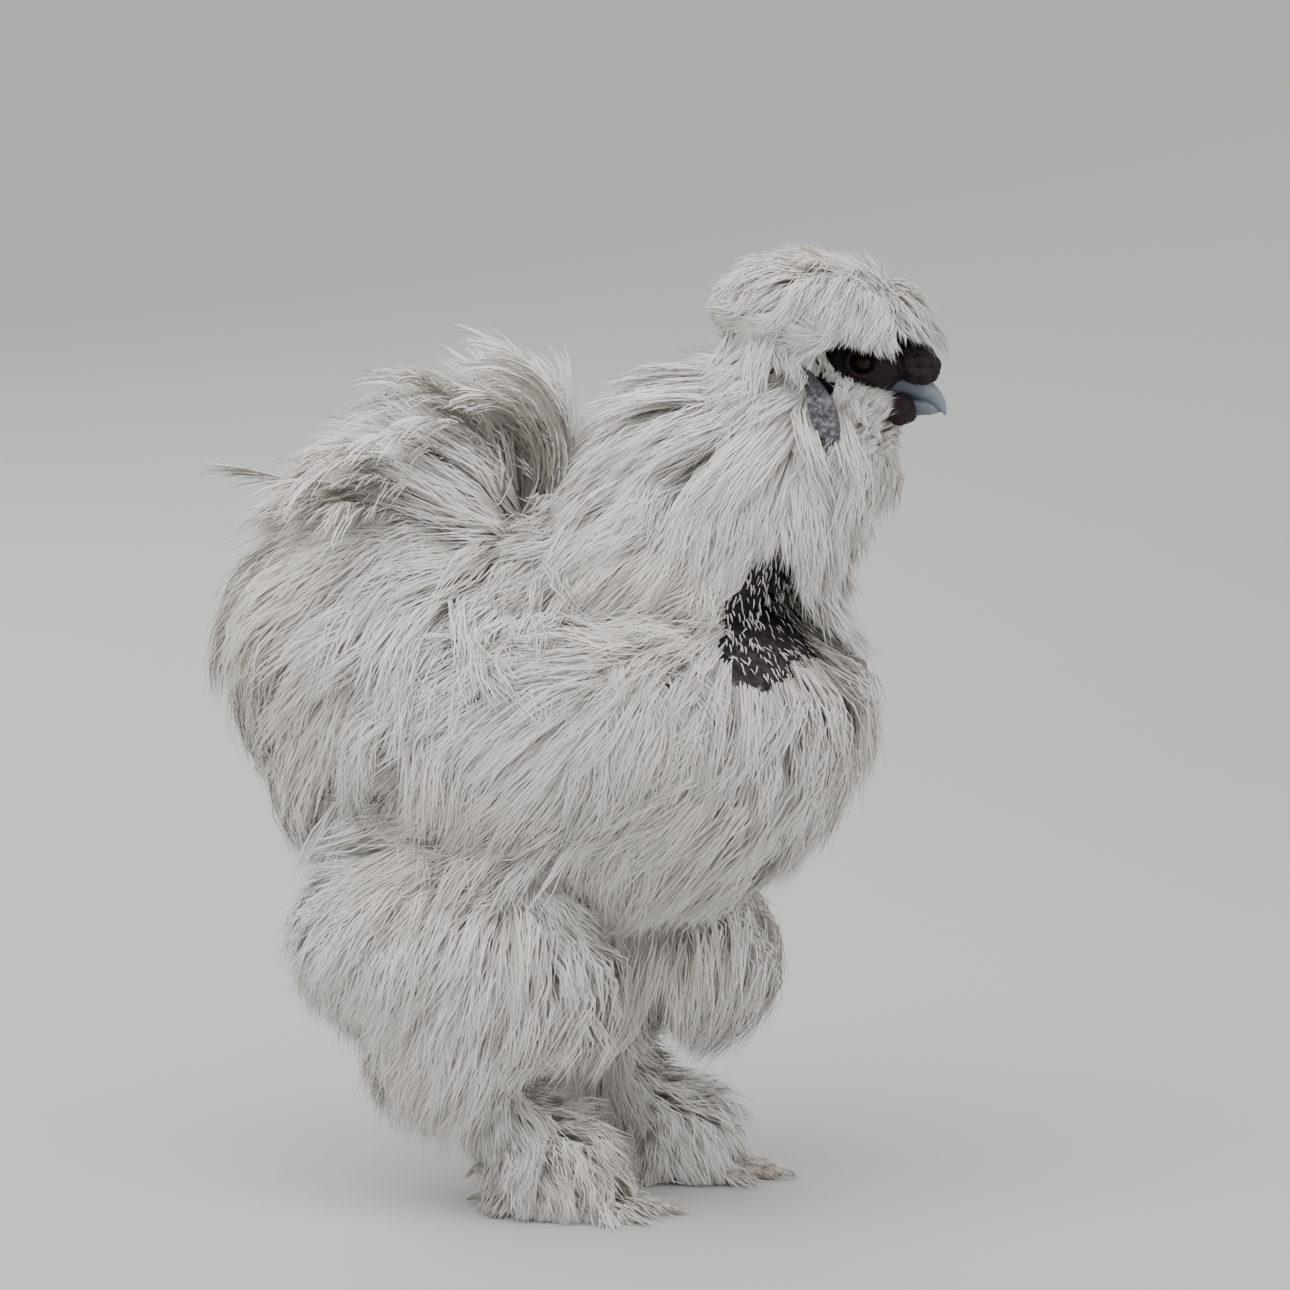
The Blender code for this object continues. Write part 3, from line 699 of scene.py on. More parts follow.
def slope_of(curve, share):
    """The direction of the same cubics at a share."""
    start, leaving, end, landing = curve
    back = share - 1
    return unit(
        (end - start) * 6 * share * (1 - share) + leaving * back * (3 * share - 1)
        + landing * share * (3 * share - 2)
    )


def grown_roots(form, coat, chance):
    """Places for tufts on a form, clear of other forms and of the bare patches."""
    roots, directions = form.scattered(coat.spacing, chance)
    kept = coat.wanted(roots / MM)
    for other in BODY:
        if other is not form:
            kept &= other.height(roots) > -ROOT_COVER
    for bare in BARE:
        kept &= bare.reach(roots) > 1
    return roots[kept], directions[kept]


def laid(roots, directions, coat, form, look, chance):
    """Tuft curves that leave the body at their roots and lie along the flow, drawn together into locks."""
    count = len(roots)
    heads = chance.choice(count, max(count // coat.lock, 1), replace=False)
    nearest = np.empty(count, int)
    for first in range(0, count, 500):
        gaps = np.linalg.norm(roots[first:first + 500, None] - roots[None, heads], axis=2)
        nearest[first:first + 500] = gaps.argmin(axis=1)
    lift = chance.uniform(0.62, 1.1, len(heads))[nearest]
    stand = coat.stand * MM * np.clip(lift * chance.uniform(0.6, 1.25, count), 0.2, 1.25)
    stand = stand * (1 + coat.front * np.clip(directions[:, 0], 0, 1))
    length = coat.length * MM * chance.uniform(0.8, 1.12, len(heads))[nearest]
    length = length * chance.uniform(0.8, 1.1, count)
    length = length * (1 + coat.low * np.clip(-directions[:, 2], 0, 1))
    sway = chance.normal(0, 0.16, len(heads))[nearest] + chance.normal(0, 0.07, count)
    pole = np.array([coat.pole[0] + form.forward, form.centre[1] / MM, coat.pole[2]]) * MM
    droop = np.array([0, 0, -coat.fall])
    foot = settled(roots, 0.0)
    first_normal = normal = outward(foot)
    heading = start = along(unit(foot - pole) + droop, normal)
    for _ in range(FOOT_STEPS):
        turned = unit(foot - pole) + droop + np.cross(normal, heading) * sway[:, None]
        heading = along(turned, normal)
        foot = settled(foot + heading * (length / FOOT_STEPS)[:, None], 0.0)
        normal = outward(foot)
    rise = ((LOCK_SUNK + stand) / length)[:, None]
    base = roots - first_normal * LOCK_SUNK
    tip = foot + normal * stand[:, None]
    gather = coat.gather * look.gather
    tip = tip + (tip[heads][nearest] - tip) * gather
    reach = np.linalg.norm(tip - base, axis=1, keepdims=True)
    leaving = (start + first_normal * rise * LEAVING_RISE) * reach
    landing = (along(heading, normal) + normal * rise * LANDING_RISE) * reach
    return (base, leaving, tip, landing), first_normal, normal, chance.random(len(heads))[nearest]


def cut_share(curve, chance):
    """How much of each tuft may grow before it would lie over a bare patch."""
    share = np.ones(len(curve[0]))
    ragged = chance.uniform(0.8, 1.06, len(share))
    for index in range(CUT_SAMPLES, 0, -1):
        place = hermite(curve, index / CUT_SAMPLES)
        for bare in BARE:
            share = np.where(bare.reach(place) < ragged, (index - 1) / CUT_SAMPLES, share)
    return share


def grow(strands, form, coat, look, seed):
    """Grows the tufts of one form: each a spray of strands round one curve."""
    chance = np.random.default_rng(seed)
    roots, directions = grown_roots(form, coat, chance)
    curve, first_normal, normal, lock_tint = laid(roots, directions, coat, form, look, chance)
    whole = cut_share(curve, chance)
    kept = whole > LEAST_SHARE
    curve = tuple(part[kept] for part in curve)
    for layer in (coat, coat.loosened()):
        spray(
            strands, curve, first_normal[kept], normal[kept], whole[kept], layer, look,
            patch_corners(form, directions[kept]), lock_tint[kept], chance,
        )


def waves(share, slow, fast, chance):
    """A wave along each strand of a spray, at a rate between a slow one and a fast one."""
    shape = (*share.shape[:2], 1, 1)
    return np.sin(chance.uniform(slow, fast, shape) * share + chance.uniform(0, 6.3, shape))


def spray(strands, curve, first_normal, normal, whole, coat, look, patches, lock_tint, chance):
    """Strands round tuft curves: spread at the root, drawn in along the way, then fanned and frizzed."""
    tufts, each = len(whole), coat.strands
    shape = (tufts, each, 1, 1)
    curve = tuple(part[:, None, None] for part in curve)
    steps = (np.arange(coat.rings + 1) / coat.rings)[None, None, :, None]
    share = steps * chance.uniform(0.5, 1.0, shape) ** 0.8 * whole[:, None, None, None]
    centre = hermite(curve, share)
    ahead = slope_of(curve, share)
    up = unit(first_normal[:, None, None] * (1 - share) + normal[:, None, None] * share)
    side = unit(np.cross(up, ahead))
    up = np.cross(ahead, side)
    spread = coat.spacing * MM * 0.95
    fan, frizz = coat.fan * MM, coat.frizz * MM * look.frizz
    sideways = chance.uniform(-1, 1, shape) * spread * (1 - 0.6 * share)
    sideways = sideways + chance.normal(0, 0.6, shape) * fan * share**1.5
    sideways = sideways + frizz * share * waves(share, 5, 9, chance)
    rising = chance.uniform(-1, 0.7, shape) * fan * 0.9 * share
    rising = rising + frizz * share * waves(share, 4, 8, chance)
    onward = chance.uniform(-1, 1, shape) * spread
    points = centre + side * sideways + up * rising + ahead * onward * (1 - share)
    points[..., 2] = np.maximum(points[..., 2], FLOOR_GAP)
    twist = chance.normal(0, 0.55, shape)
    flat = side[:, :, :-1] * np.cos(twist) + up[:, :, :-1] * np.sin(twist)
    full = np.interp(np.arange(coat.rings) / coat.rings, [0, 0.4, 1], [0.75, 1.0, 0.5])[None, None, :]
    widths = coat.breadth * look.strand_breadth * MM * full * chance.uniform(0.7, 1.25, (tufts, each, 1))
    tint = np.clip(0.3 + 0.4 * lock_tint[:, None] + chance.uniform(-0.3, 0.3, (tufts, each)), 0, 1)
    count = tufts * each
    facing = unit(first_normal[:, None, None] * (1 - share) + normal[:, None, None] * share + up * 0.5)
    strands.add(
        points.reshape(count, coat.rings + 1, 3), flat.reshape(count, coat.rings, 3),
        widths.reshape(count, coat.rings), tint.reshape(count), np.repeat(patches, each, axis=0),
        facing.reshape(count, coat.rings + 1, 3),
    )


# The tiers of the tail: plumes, spread, rise and bend in degrees, length, how far behind and below
TAIL_TIERS = (
    (23, 48, 124, 136, 92, -11, 2),
    (17, 44, 116, 150, 66, -2, 0),
    (23, 58, 102, 130, 88, 8, 0),
    (21, 66, 76, 104, 80, 22, 2),
    (17, 76, 50, 78, 66, 38, 6),
)
STRAY_PLUME = (6, 34, 34, 88, (-68, -10, 260))
PLUME_ROOT, PLUME_BREADTH, STRAY_BREADTH = (-24, 26, 270), 12, 5
BARBS = 72
BARB_BREADTH = 0.95
BARB_DROOP = 7.0
BARB_RINGS = 4
PLUME_STEPS = 12


def grow_plumes(strands, seed):
    """The long tail plumes, each a shaft line with open barbs, arching over backwards."""
    chance = np.random.default_rng(seed)
    for count, spread, rise, bend, length, behind, below in TAIL_TIERS:
        for index in range(count):
            azimuth = math.radians(spread * (2 * index / (count - 1) - 1) + chance.uniform(-11, 11))
            x, y, z = PLUME_ROOT
            root = (x - behind + chance.uniform(-8, 8), y * math.sin(azimuth), z - below)
            plume(
                strands, root, azimuth, rise + chance.uniform(-18, 9), bend * chance.uniform(0.75, 1.1),
                length * chance.uniform(0.72, 1.06), PLUME_BREADTH, chance,
            )
    azimuth, rise, bend, length, root = STRAY_PLUME
    for _ in range(2):
        plume(strands, root, math.radians(azimuth), rise, bend, length, STRAY_BREADTH, chance)


def plume(strands, root, azimuth, rise, bend, length, breadth, chance):
    """One plume: barbs that leave the shaft line on both sides and sweep towards its tip."""
    out = np.array([-math.cos(azimuth), math.sin(azimuth), 0.0])
    across = np.array([math.sin(azimuth), math.cos(azimuth), 0.0])
    raised = np.array([0.0, 0.0, 1.0])
    angle = np.radians(rise - bend * np.linspace(0, 1, PLUME_STEPS + 1))
    steps = (out * np.cos(angle)[:, None] + raised * np.sin(angle)[:, None]) * length * MM / PLUME_STEPS
    line = np.array(root) * MM + np.concatenate([np.zeros((1, 3)), np.cumsum(steps[:-1], axis=0)])

    def at(share):
        place = np.clip(share, 0, 1) * PLUME_STEPS
        lower = np.minimum(place.astype(int), PLUME_STEPS - 1)
        part = (place - lower)[..., None]
        return line[lower] * (1 - part) + line[lower + 1] * part

    start = chance.uniform(0, 0.72, BARBS)[:, None]
    part = np.linspace(0, 1, BARB_RINGS + 1)[None]
    run = chance.uniform(0.2, 0.42, BARBS)[:, None]
    share = np.minimum(start + run * part, 1.0)
    centre = at(share)
    hand = chance.choice([-1.0, 1.0], BARBS)[:, None]
    reach = hand * breadth * MM * chance.uniform(0.2, 1.1, (BARBS, 1))
    open_out = reach * np.sqrt(part) * (1 - 0.35 * start)
    droop = -chance.uniform(0.0, BARB_DROOP, (BARBS, 1)) * MM * part**1.5
    droop = droop + chance.normal(0, 1, (BARBS, 1)) * MM * part
    points = centre + across * open_out[..., None] + raised * droop[..., None]
    ahead = unit(np.diff(points, axis=1))
    twist = chance.normal(0, 0.5, (BARBS, 1, 1))
    flat = unit(np.cross(np.cross(ahead, across), ahead))
    above = np.cross(ahead, flat)
    flat = flat * np.cos(twist) + above * np.sin(twist)
    full = np.array([0.8, 1.0, 0.9, 0.6])[None]
    widths = MM * BARB_BREADTH * full * chance.uniform(0.7, 1.2, (BARBS, 1))
    directions = unit((np.array(root) * MM - TAIL.centre)[None]).repeat(BARBS, axis=0)
    tint = chance.uniform(0.2, 0.8, BARBS)
    facing = unit(unit(points - TAIL.centre) + raised * 0.6)
    strands.add(points, flat, widths, tint, patch_corners(TAIL, directions), facing)


PIN_FEATHERS = 270
PIN_LENGTHS, PIN_WIDTHS = (2, 5), (0.35, 0.7)


def grow_pins(strands, seed):
    """Short white pin feathers on the bare skin over the crop."""
    chance = np.random.default_rng(seed)
    spots = []
    while len(spots) < PIN_FEATHERS:
        across, up = chance.uniform(-1, 1, 2)
        if across * across + up * up < 1:
            x = BARE_CROP.centre[0] + across * BARE_CROP.radii[0] * 1.05
            spots.append((x, -60, BARE_CROP.centre[1] + up * BARE_CROP.radii[1] * 1.05))
    roots = np.array(spots) * MM
    for _ in range(14):
        roots[:, 1] += np.clip(stand_off(roots) + SKIN_DEPTH, -4 * MM, 4 * MM)
    normal = outward(roots)
    heading = along(np.array([-0.1, 0, -1.0]) + chance.normal(0, 0.25, roots.shape), normal)
    length = chance.uniform(*PIN_LENGTHS, (PIN_FEATHERS, 1, 1)) * MM
    part = np.linspace(0, 1, 4)[None, :, None]
    raised = normal[:, None] * (0.3 * length * np.sqrt(part))
    points = roots[:, None] + heading[:, None] * length * part + raised
    side = np.cross(normal, heading)[:, None].repeat(3, axis=1)
    widths = chance.uniform(*PIN_WIDTHS, (PIN_FEATHERS, 1)) * MM * np.array([0.9, 1.0, 0.7])
    directions = unit(roots - CAPE.centre)
    facing = normal[:, None].repeat(4, axis=1)
    tint = np.full(PIN_FEATHERS, 0.6)
    strands.add(points, side, widths, tint, patch_corners(CAPE, directions), facing)


# Each toe: its name, heading in degrees from straight ahead and outwards, length, and rise of its end
TOES = {
    "inner": (-26, 36, 0),
    "middle": (0, 45, 0),
    "outer": (27, 38, 0),
    "hind": (196, 27, 0),
    "fifth": (158, 24, 15),
}
TOE_RADIUS = 3.4
FEATHERED_TOES = {"inner": 16, "middle": 30, "outer": 36}
TOE_STRANDS = 18
TOE_FEATHER_LENGTHS = (14, 26)
TOE_FEATHER_BREADTH = 0.7


def toe_line(side, name, shares):
    """Points along a toe's middle and its radii, in millimetres."""
    heading, length, rise = TOES[name]
    ankle = Vector((LEFT_LEG_FORWARD if side == LEFT else 0, LEG_SPREAD * side, 0))
    angle = math.radians(heading) * side
    out = Vector((math.cos(angle), math.sin(angle), 0))
    centres, radii = [], []
    for share in shares:
        radius = TOE_RADIUS * (1.35 - 0.42 * share)
        centres.append(ankle + out * length * share + Vector((0, 0, radius * 0.82 + rise * share**1.5)))
        radii.append(radius)
    return centres, radii, out


def grow_toe_feathers(strands, side, seed):
    """Short feathers along the middle and outer toes, lying forwards and outwards."""
    chance = np.random.default_rng(seed)
    for name, count in FEATHERED_TOES.items():
        centres, radii, out = toe_line(side, name, np.linspace(0.05, 0.8, count))
        across = Vector((-out.y, out.x, 0)) * side
        for centre, radius in zip(centres, radii):
            root = np.array(centre + Vector((0, 0, radius * 0.4))) * MM
            aside = across * chance.uniform(-0.2, 0.9)
            lean = np.array(out * 0.9 + aside + Vector((0, 0, chance.uniform(0.0, 0.3))))
            length = chance.uniform(*TOE_FEATHER_LENGTHS) * MM
            part = np.linspace(0, 1, 4)[None, :, None]
            fan = chance.normal(0, 2.6, (TOE_STRANDS, 1, 3)) * MM * part
            start = root + chance.normal(0, 1.3, (TOE_STRANDS, 1, 3)) * MM
            shorter = chance.uniform(0.5, 1, (TOE_STRANDS, 1, 1))
            points = start + unit(lean) * length * part * shorter + fan
            points[..., 2] -= 9 * MM * part[..., 0] ** 2
            points[..., 2] = np.maximum(points[..., 2], FLOOR_GAP)
            ahead = unit(np.diff(points, axis=1))
            flat = unit(np.cross(ahead, np.array([0, 0, 1.0])))
            full = np.array([0.8, 1.0, 0.7]) * chance.uniform(0.7, 1.2, (TOE_STRANDS, 1))
            widths = TOE_FEATHER_BREADTH * MM * full
            direction = unit((root - INSTEP[side].centre)[None]).repeat(TOE_STRANDS, axis=0)
            tint = chance.uniform(0.2, 0.8, TOE_STRANDS)
            facing = np.broadcast_to(unit(np.array(out) * 0.4 + [0, 0, 1]), points.shape)
            strands.add(points, flat, widths, tint, patch_corners(INSTEP[side], direction), facing)


# Skin, face, head and feet

SKIN_DEPTH = 5 * MM
SKIN_VOXEL = 2.2 * MM
SKIN_SMOOTHING = 6


def skin_mesh():
    """The bird's skin as one closed surface, a little inside the plumage's forms."""
    shape = bmesh.new()
    for form in SKINNED + [MANE, BELLY]:
        size = Matrix.Diagonal(Vector(form.radii - SKIN_DEPTH).to_4d())
        turn = Matrix(form.turn.tolist()).to_4x4()
        place = Matrix.Translation(form.centre) @ turn @ size
        bmesh.ops.create_icosphere(shape, subdivisions=4, radius=1, matrix=place)
    return mesh_from(shape, "skin")


def remeshed(thing):
    """Fuses a piece's overlapping shells into one skin and smooths the creases between them."""
    step = thing.modifiers.new("Fuse", "REMESH")
    step.mode, step.voxel_size = "VOXEL", SKIN_VOXEL
    ease = thing.modifiers.new("Ease", "SMOOTH")
    ease.factor, ease.iterations = 0.6, SKIN_SMOOTHING
    settle_modifiers(thing)


def settle_modifiers(thing):
    """Keeps a piece's finished shape and drops its modifiers."""
    graph = bpy.context.evaluated_depsgraph_get()
    mesh = bpy.data.meshes.new_from_object(thing.evaluated_get(graph))
    thing.modifiers.clear()
    thing.data = mesh
    mesh.shade_smooth()


FACE_FINENESS = 6
LID_RADIUS, LID_WIDTH, LID_RISE = 5.3, 1.15, 1.5
SOCKET_RADIUS, SOCKET_DEPTH = 3.2, 4.5


def face_mesh():
    """The head's skin: fine folds, raised lids and sockets that the eyes sit in."""
    shape = bmesh.new()
    bmesh.ops.create_icosphere(shape, subdivisions=FACE_FINENESS, radius=1)
    eyes = [Vector((EYE_PLACE[0], EYE_PLACE[1] * side, EYE_PLACE[2])) * MM for side in SIDES.values()]
    for vertex in shape.verts:
        direction = vertex.co.copy()
        point = Vector(SKULL.at(np.array(direction)))
        normal = (point - Vector(SKULL.centre)).normalized()
        folds = noise.noise(Vector((point.x * 240, point.y * 240, point.z * 420))) * 0.7
        folds += abs(noise.noise(point * 560)) * 0.6
        raised = folds * MM
        for eye in eyes:
            away = math.hypot(point.x - eye.x, point.z - eye.z) / MM
            if abs(point.y - eye.y) < 8 * MM and away < 12:
                lid = math.exp(-(((away - LID_RADIUS) / LID_WIDTH) ** 2))
                upper = 1.25 if point.z > eye.z else 0.9
                hollow = math.exp(-(max(away - SOCKET_RADIUS, 0) ** 2))
                raised += (lid * LID_RISE * upper - hollow * SOCKET_DEPTH) * MM
        vertex.co = point + normal * raised
    return mesh_from(shape, "face")


def ball(name, centre, radii, pitch, fineness, raise_by):
    """A closed round piece in millimetres whose surface is raised by a rule of the direction and place."""
    form = Form(centre, radii, pitch)
    shape = bmesh.new()
    bmesh.ops.create_icosphere(shape, subdivisions=fineness, radius=1)
    for vertex in shape.verts:
        direction = vertex.co.normalized()
        point = Vector(form.at(np.array(direction)))
        normal = (point - Vector(form.centre)).normalized()
        vertex.co = point + normal * raise_by(direction, point) * MM
    return mesh_from(shape, name)


# Each with its centre, radii, tilt and fineness
COMB = ((136, 0, 329.5), (10, 9.5, 7.5), -28, 6)
WATTLE = ((131.5, 5.6, 311.5), (6.2, 3.8, 6.4), -12, 5)
COMB_LUMPS = 34
LUMP_REACH = 0.42
LUMP_RISE = 2.2
GOLDEN_ANGLE = math.pi * (3 - math.sqrt(5))


def comb_rise(direction, point):
    """Rounded lumps with creases between them, as on a walnut."""
    best = 0.0
    for index in range(COMB_LUMPS):
        z = 1 - (2 * index + 1) / COMB_LUMPS
        around = math.sqrt(1 - z * z)
        angle = GOLDEN_ANGLE * index
        lump = Vector((around * math.cos(angle), around * math.sin(angle), z))
        gap = (direction - lump).length / LUMP_REACH
        best = max(best, math.sqrt(max(1 - gap * gap, 0.0)))
    return best * LUMP_RISE - 0.8 + noise.noise(point * 700) * 0.25


def wattle_rise(direction, point):
    """Fine folds of loose skin."""
    folds = noise.noise(Vector((point.x * 500, point.y * 300, point.z * 240)))
    return folds * 0.7 + noise.noise(point * 900) * 0.2


LOBE_PLACE, LOBE_RADII, LOBE_TILT = (105.2, 28, 310.5), (5.3, 3.2, 14.5), 20


def lobe_mesh(side):
    """A leaf on a thin stem, with a raised rim and shallow pits, and a mark for how near its rim is."""
    x, y, z = LOBE_PLACE
    form = Form((x, y * side, z), LOBE_RADII, LOBE_TILT)
    shape = bmesh.new()
    bmesh.ops.create_icosphere(shape, subdivisions=6, radius=1)
    rims = []
    for vertex in shape.verts:
        flat = vertex.co.normalized()
        rims.append(1 - abs(flat.y))
        leaf = flat.copy()
        stem = min(max((flat.z - 0.35) / 0.65, 0), 1)
        leaf.x *= (1 - 0.45 * max(-flat.z, 0) ** 2) * (1 - 0.55 * stem)
        point = Vector(form.at(np.array(leaf))) + Vector((-4.4 * stem**1.5, 0, 6.5 * stem)) * MM
        rim = math.exp(-(((abs(flat.y) - 0.4) / 0.18) ** 2)) * 0.8
        pits = noise.noise(point * 380) * 1.1 + noise.noise(point * 1000) * 0.4
        point.y += side * math.copysign(1, flat.y * side) * (rim + pits) * MM
        vertex.co = point
    mesh = mesh_from(shape, "lobe")
    add_attribute(mesh, "rim", rims)
    return mesh


BEAK_UPPER = (
    [(121, 0, 320), (132, 0, 320.5), (139.5, 0, 319), (145, 0, 315.4), (148, 0, 311)],
    [8, 7, 5, 2.8, 1.0], [6, 5.6, 4.6, 3, 1.2], (148.6, 0, 308.8),
)
BEAK_LOWER = (
    [(121, 0, 312.4), (131, 0, 312.2), (138, 0, 312.4), (143, 0, 311.8)],
    [7, 5.6, 3.9, 2.4], [4.4, 4.0, 3.5, 2.7], (147.2, 0, 310.4),
)
NOSTRIL = Vector((138, 5.0, 320.4))
BEAK_RINGS = 22
BEAK_CORNERS = 24


def beak_mesh(name, sizes, nostrils):
    """One half of the beak, with the nostrils pressed into the upper one."""
    centres, breadths, depths, tip = sizes
    rings = oval_rings(
        smooth_steps(centres, BEAK_RINGS), smooth_steps(breadths, BEAK_RINGS),
        smooth_steps(depths, BEAK_RINGS), BEAK_CORNERS, 0.12,
    )
    shape = swept(rings, Vector(tip) * MM)
    for vertex in shape.verts:
        for side in SIDES.values() if nostrils else ():
            slot = Vector((NOSTRIL.x, NOSTRIL.y * side, NOSTRIL.z)) * MM
            away = vertex.co - slot
            reach = math.hypot(away.x / 2.2, away.z / 1.1) / MM
            if abs(away.y) < 4 * MM:
                vertex.co.y -= side * 1.6 * MM * math.exp(-reach * reach)
    return mesh_from(shape, name)


TOE_RINGS = 34
TOE_CORNERS = 14
SCUTES = 11


def foot_mesh(word, side):
    """A foot: toes with raised scutes over a round palm."""
    shape = bmesh.new()
    for name in TOES:
        shares = np.linspace(0, 1, TOE_RINGS)
        centres, radii, out = toe_line(side, name, shares)
        joints = [0.86 + 0.14 * abs(math.sin(math.pi * SCUTES * share / 2)) ** 0.6 for share in shares]
        knuckles = [1 + 0.1 * math.cos(6 * math.pi * share) for share in shares]
        sizes = [radius * knuckle for radius, knuckle in zip(radii, knuckles)]
        rings = oval_rings([tuple(centre) for centre in centres], sizes, sizes, TOE_CORNERS)
        toe = swept(rings)
        for vertex in toe.verts:
            share = (vertex.co / MM - centres[0]).dot(out) / (centres[-1] - centres[0]).dot(out)
            index = min(max(round(share * (TOE_RINGS - 1)), 0), TOE_RINGS - 1)
            above = vertex.co.z / MM > centres[index].z
            if above:
                vertex.co.z = centres[index].z * MM + (vertex.co.z - centres[index].z * MM) * joints[index]
            vertex.co.z = max(vertex.co.z, 0.05 * MM)
        mesh = bpy.data.meshes.new("toe")
        toe.to_mesh(mesh)
        toe.free()
        shape.from_mesh(mesh)
        bpy.data.meshes.remove(mesh)
    palm = Matrix.Translation(Vector((LEFT_LEG_FORWARD if side == LEFT else 0, LEG_SPREAD * side, 7)) * MM)
    size = Matrix.Diagonal(Vector((9, 8, 6.5)).to_4d())
    bmesh.ops.create_icosphere(shape, subdivisions=4, radius=MM, matrix=palm @ size)
    return mesh_from(shape, "foot_skin_" + word)


def store_scutes(mesh):
    """Marks the creases between scutes for the finish, from the rings of each toe."""
    toe = np.abs(np.sin(math.pi * SCUTES * np.linspace(0, 1, TOE_RINGS) / 2)) ** 0.6
    toes = np.tile(np.repeat(toe, TOE_CORNERS), len(TOES))
    add_attribute(mesh, "scute", np.concatenate([toes, np.ones(len(mesh.vertices) - len(toes))]))


CLAW_RINGS = 10
CLAW_CORNERS = 12
CLAW_SIZES = ([1.7, 1.6, 1.25, 0.5], [1.9, 1.8, 1.4, 0.6])


def claw_mesh(word, side, name):
    """A curved tapered claw at the end of a toe."""
    centres, _, out = toe_line(side, name, [1.0])
    end = centres[0] + out * 0.6
    rise = TOES[name][2]
    line = [end - out * 1.5, end + out * 2.2 + Vector((0, 0, 0.4)), end + out * 5.2 + Vector((0, 0, 0.0)),
            end + out * 8.0 + Vector((0, 0, 1.4 - end.z + rise * 0.9))]
    tip = end + out * 9.5 + Vector((0, 0, 0.9 - end.z + rise * 0.9))
    sizes = ([tuple(place) for place in line], *CLAW_SIZES)
    rings = oval_rings(*(smooth_steps(values, CLAW_RINGS) for values in sizes), CLAW_CORNERS)
    return mesh_from(swept(rings, tip * MM), f"claw_skin_{word}_{name}")


# What a user may change


def colour(name, description, default):
    """A colour that a user may change."""
    return FloatVectorProperty(
        name=name, description=description, subtype="COLOR", size=3, min=0, max=1, default=default
    )


def amount(name, description, default, low=0.0):
    """A number that a user may change, no less than a low one."""
    return FloatProperty(name=name, description=description, default=default, min=low)


class PlumageLook(bpy.types.PropertyGroup):
    tip_colour: colour("Tips", "Colour of the plumage's tips", (0.84, 0.82, 0.78))
    cream_colour: colour("Cream", "Colour of the warmer places in the plumage", (0.83, 0.787, 0.71))
    # The roots' colour is painted shade deep in the plumage; the down takes it too
    root_shade_colour: colour("Roots", "Colour of the plumage near the skin", (0.74, 0.71, 0.66))
    shade_colour: colour("Shaded strands", "Colour of the darkest strands", (0.70, 0.675, 0.63))
    shade_range: amount("Shade range", "How much strands differ in shade", 0.7)
    strand_breadth: amount("Strand breadth", "Breadth of a strand against its named size", 1.0, 0.3)
    frizz: amount("Frizz", "How much strands wave", 1.0)
    gather: amount("Gather", "How much tufts draw together into locks", 1.0)
    seed: IntProperty(name="Seed", description="Start of the random draws", default=7)


class SkinLook(bpy.types.PropertyGroup):
    skin_colour: colour("Face", "Colour of the face", (0.009, 0.0065, 0.008))
    flush_colour: colour("Flush", "Colour of the face's mulberry places", (0.024, 0.011, 0.019))
    lobe_colour: colour("Ear lobes", "Colour of the ear lobes", (0.06, 0.055, 0.067))
    lobe_pale_colour: colour("Ear lobe wrinkles", "Colour of the pale wrinkles", (0.21, 0.198, 0.22))
    horn_colour: colour("Beak", "Colour of the beak", (0.05, 0.06, 0.08))
    horn_tip_colour: colour("Beak tip", "Colour of the beak's tip", (0.19, 0.215, 0.26))
    foot_colour: colour("Feet", "Colour of the feet", (0.36, 0.27, 0.25))
    foot_pale_colour: colour("Foot dust", "Colour of the dusty places on the feet", (0.50, 0.42, 0.39))
    claw_colour: colour("Claws", "Colour of the claws", (0.52, 0.47, 0.43))


class StageLook(bpy.types.PropertyGroup):
    floor_colour: colour("Floor", "Colour of the floor", (0.55, 0.545, 0.53))
    key_power: amount("Key light", "Power of the main light, in watts", 50)
    sky_strength: amount("Sky", "Strength of the light from all round", 0.6)


# Operators


def dress(thing, name, make, *looks):
    """Gives a piece a finish, made once for all the pieces that wear it."""
    thing.data.materials.append(bpy.data.materials.get(OWN + name) or make(*looks))


class BuildSkin(bpy.types.Operator):
    """The down-covered skin under the plumage"""

    bl_idname = "silkie.skin"
    bl_label = "Skin"

    def execute(self, context):
        thing = piece_of("skin", skin_mesh(), "plumage")
        remeshed(thing)
        dress(thing, "down", down_finish, context.scene.plumage_look)
        return {"FINISHED"}


class BuildFace(bpy.types.Operator):
    """The bare face with its lids"""

    bl_idname = "silkie.face"
    bl_label = "Face"

    def execute(self, context):
        thing = piece_of("face", face_mesh(), "face_skin", "head")
        dress(thing, "face skin", face_finish, context.scene.skin_look)
        return {"FINISHED"}


class BuildEyes(bpy.types.Operator):
    """The eyes"""

    bl_idname = "silkie.eyes"
    bl_label = "Eyes"

    def execute(self, context):
        for word, side in SIDES.items():
            centre = (EYE_PLACE[0], EYE_PLACE[1] * side, EYE_PLACE[2])
            mesh = ball("eyeball", centre, (EYE_RADIUS,) * 3, 0, 5, lambda direction, point: 0.0)
            thing = piece_of("eyeball_" + word, mesh, "eye", "eye_" + word)
            dress(thing, "eye", eye_finish)
        return {"FINISHED"}


class BuildBeak(bpy.types.Operator):
    """Both halves of the beak"""

    bl_idname = "silkie.beak"
    bl_label = "Beak"

    def execute(self, context):
        for name, sizes, nostrils in (("upper", BEAK_UPPER, True), ("lower", BEAK_LOWER, False)):
            thing = piece_of("bill_" + name, beak_mesh(name, sizes, nostrils), "horn", "beak_" + name)
            dress(thing, "horn", horn_finish, context.scene.skin_look)
        return {"FINISHED"}


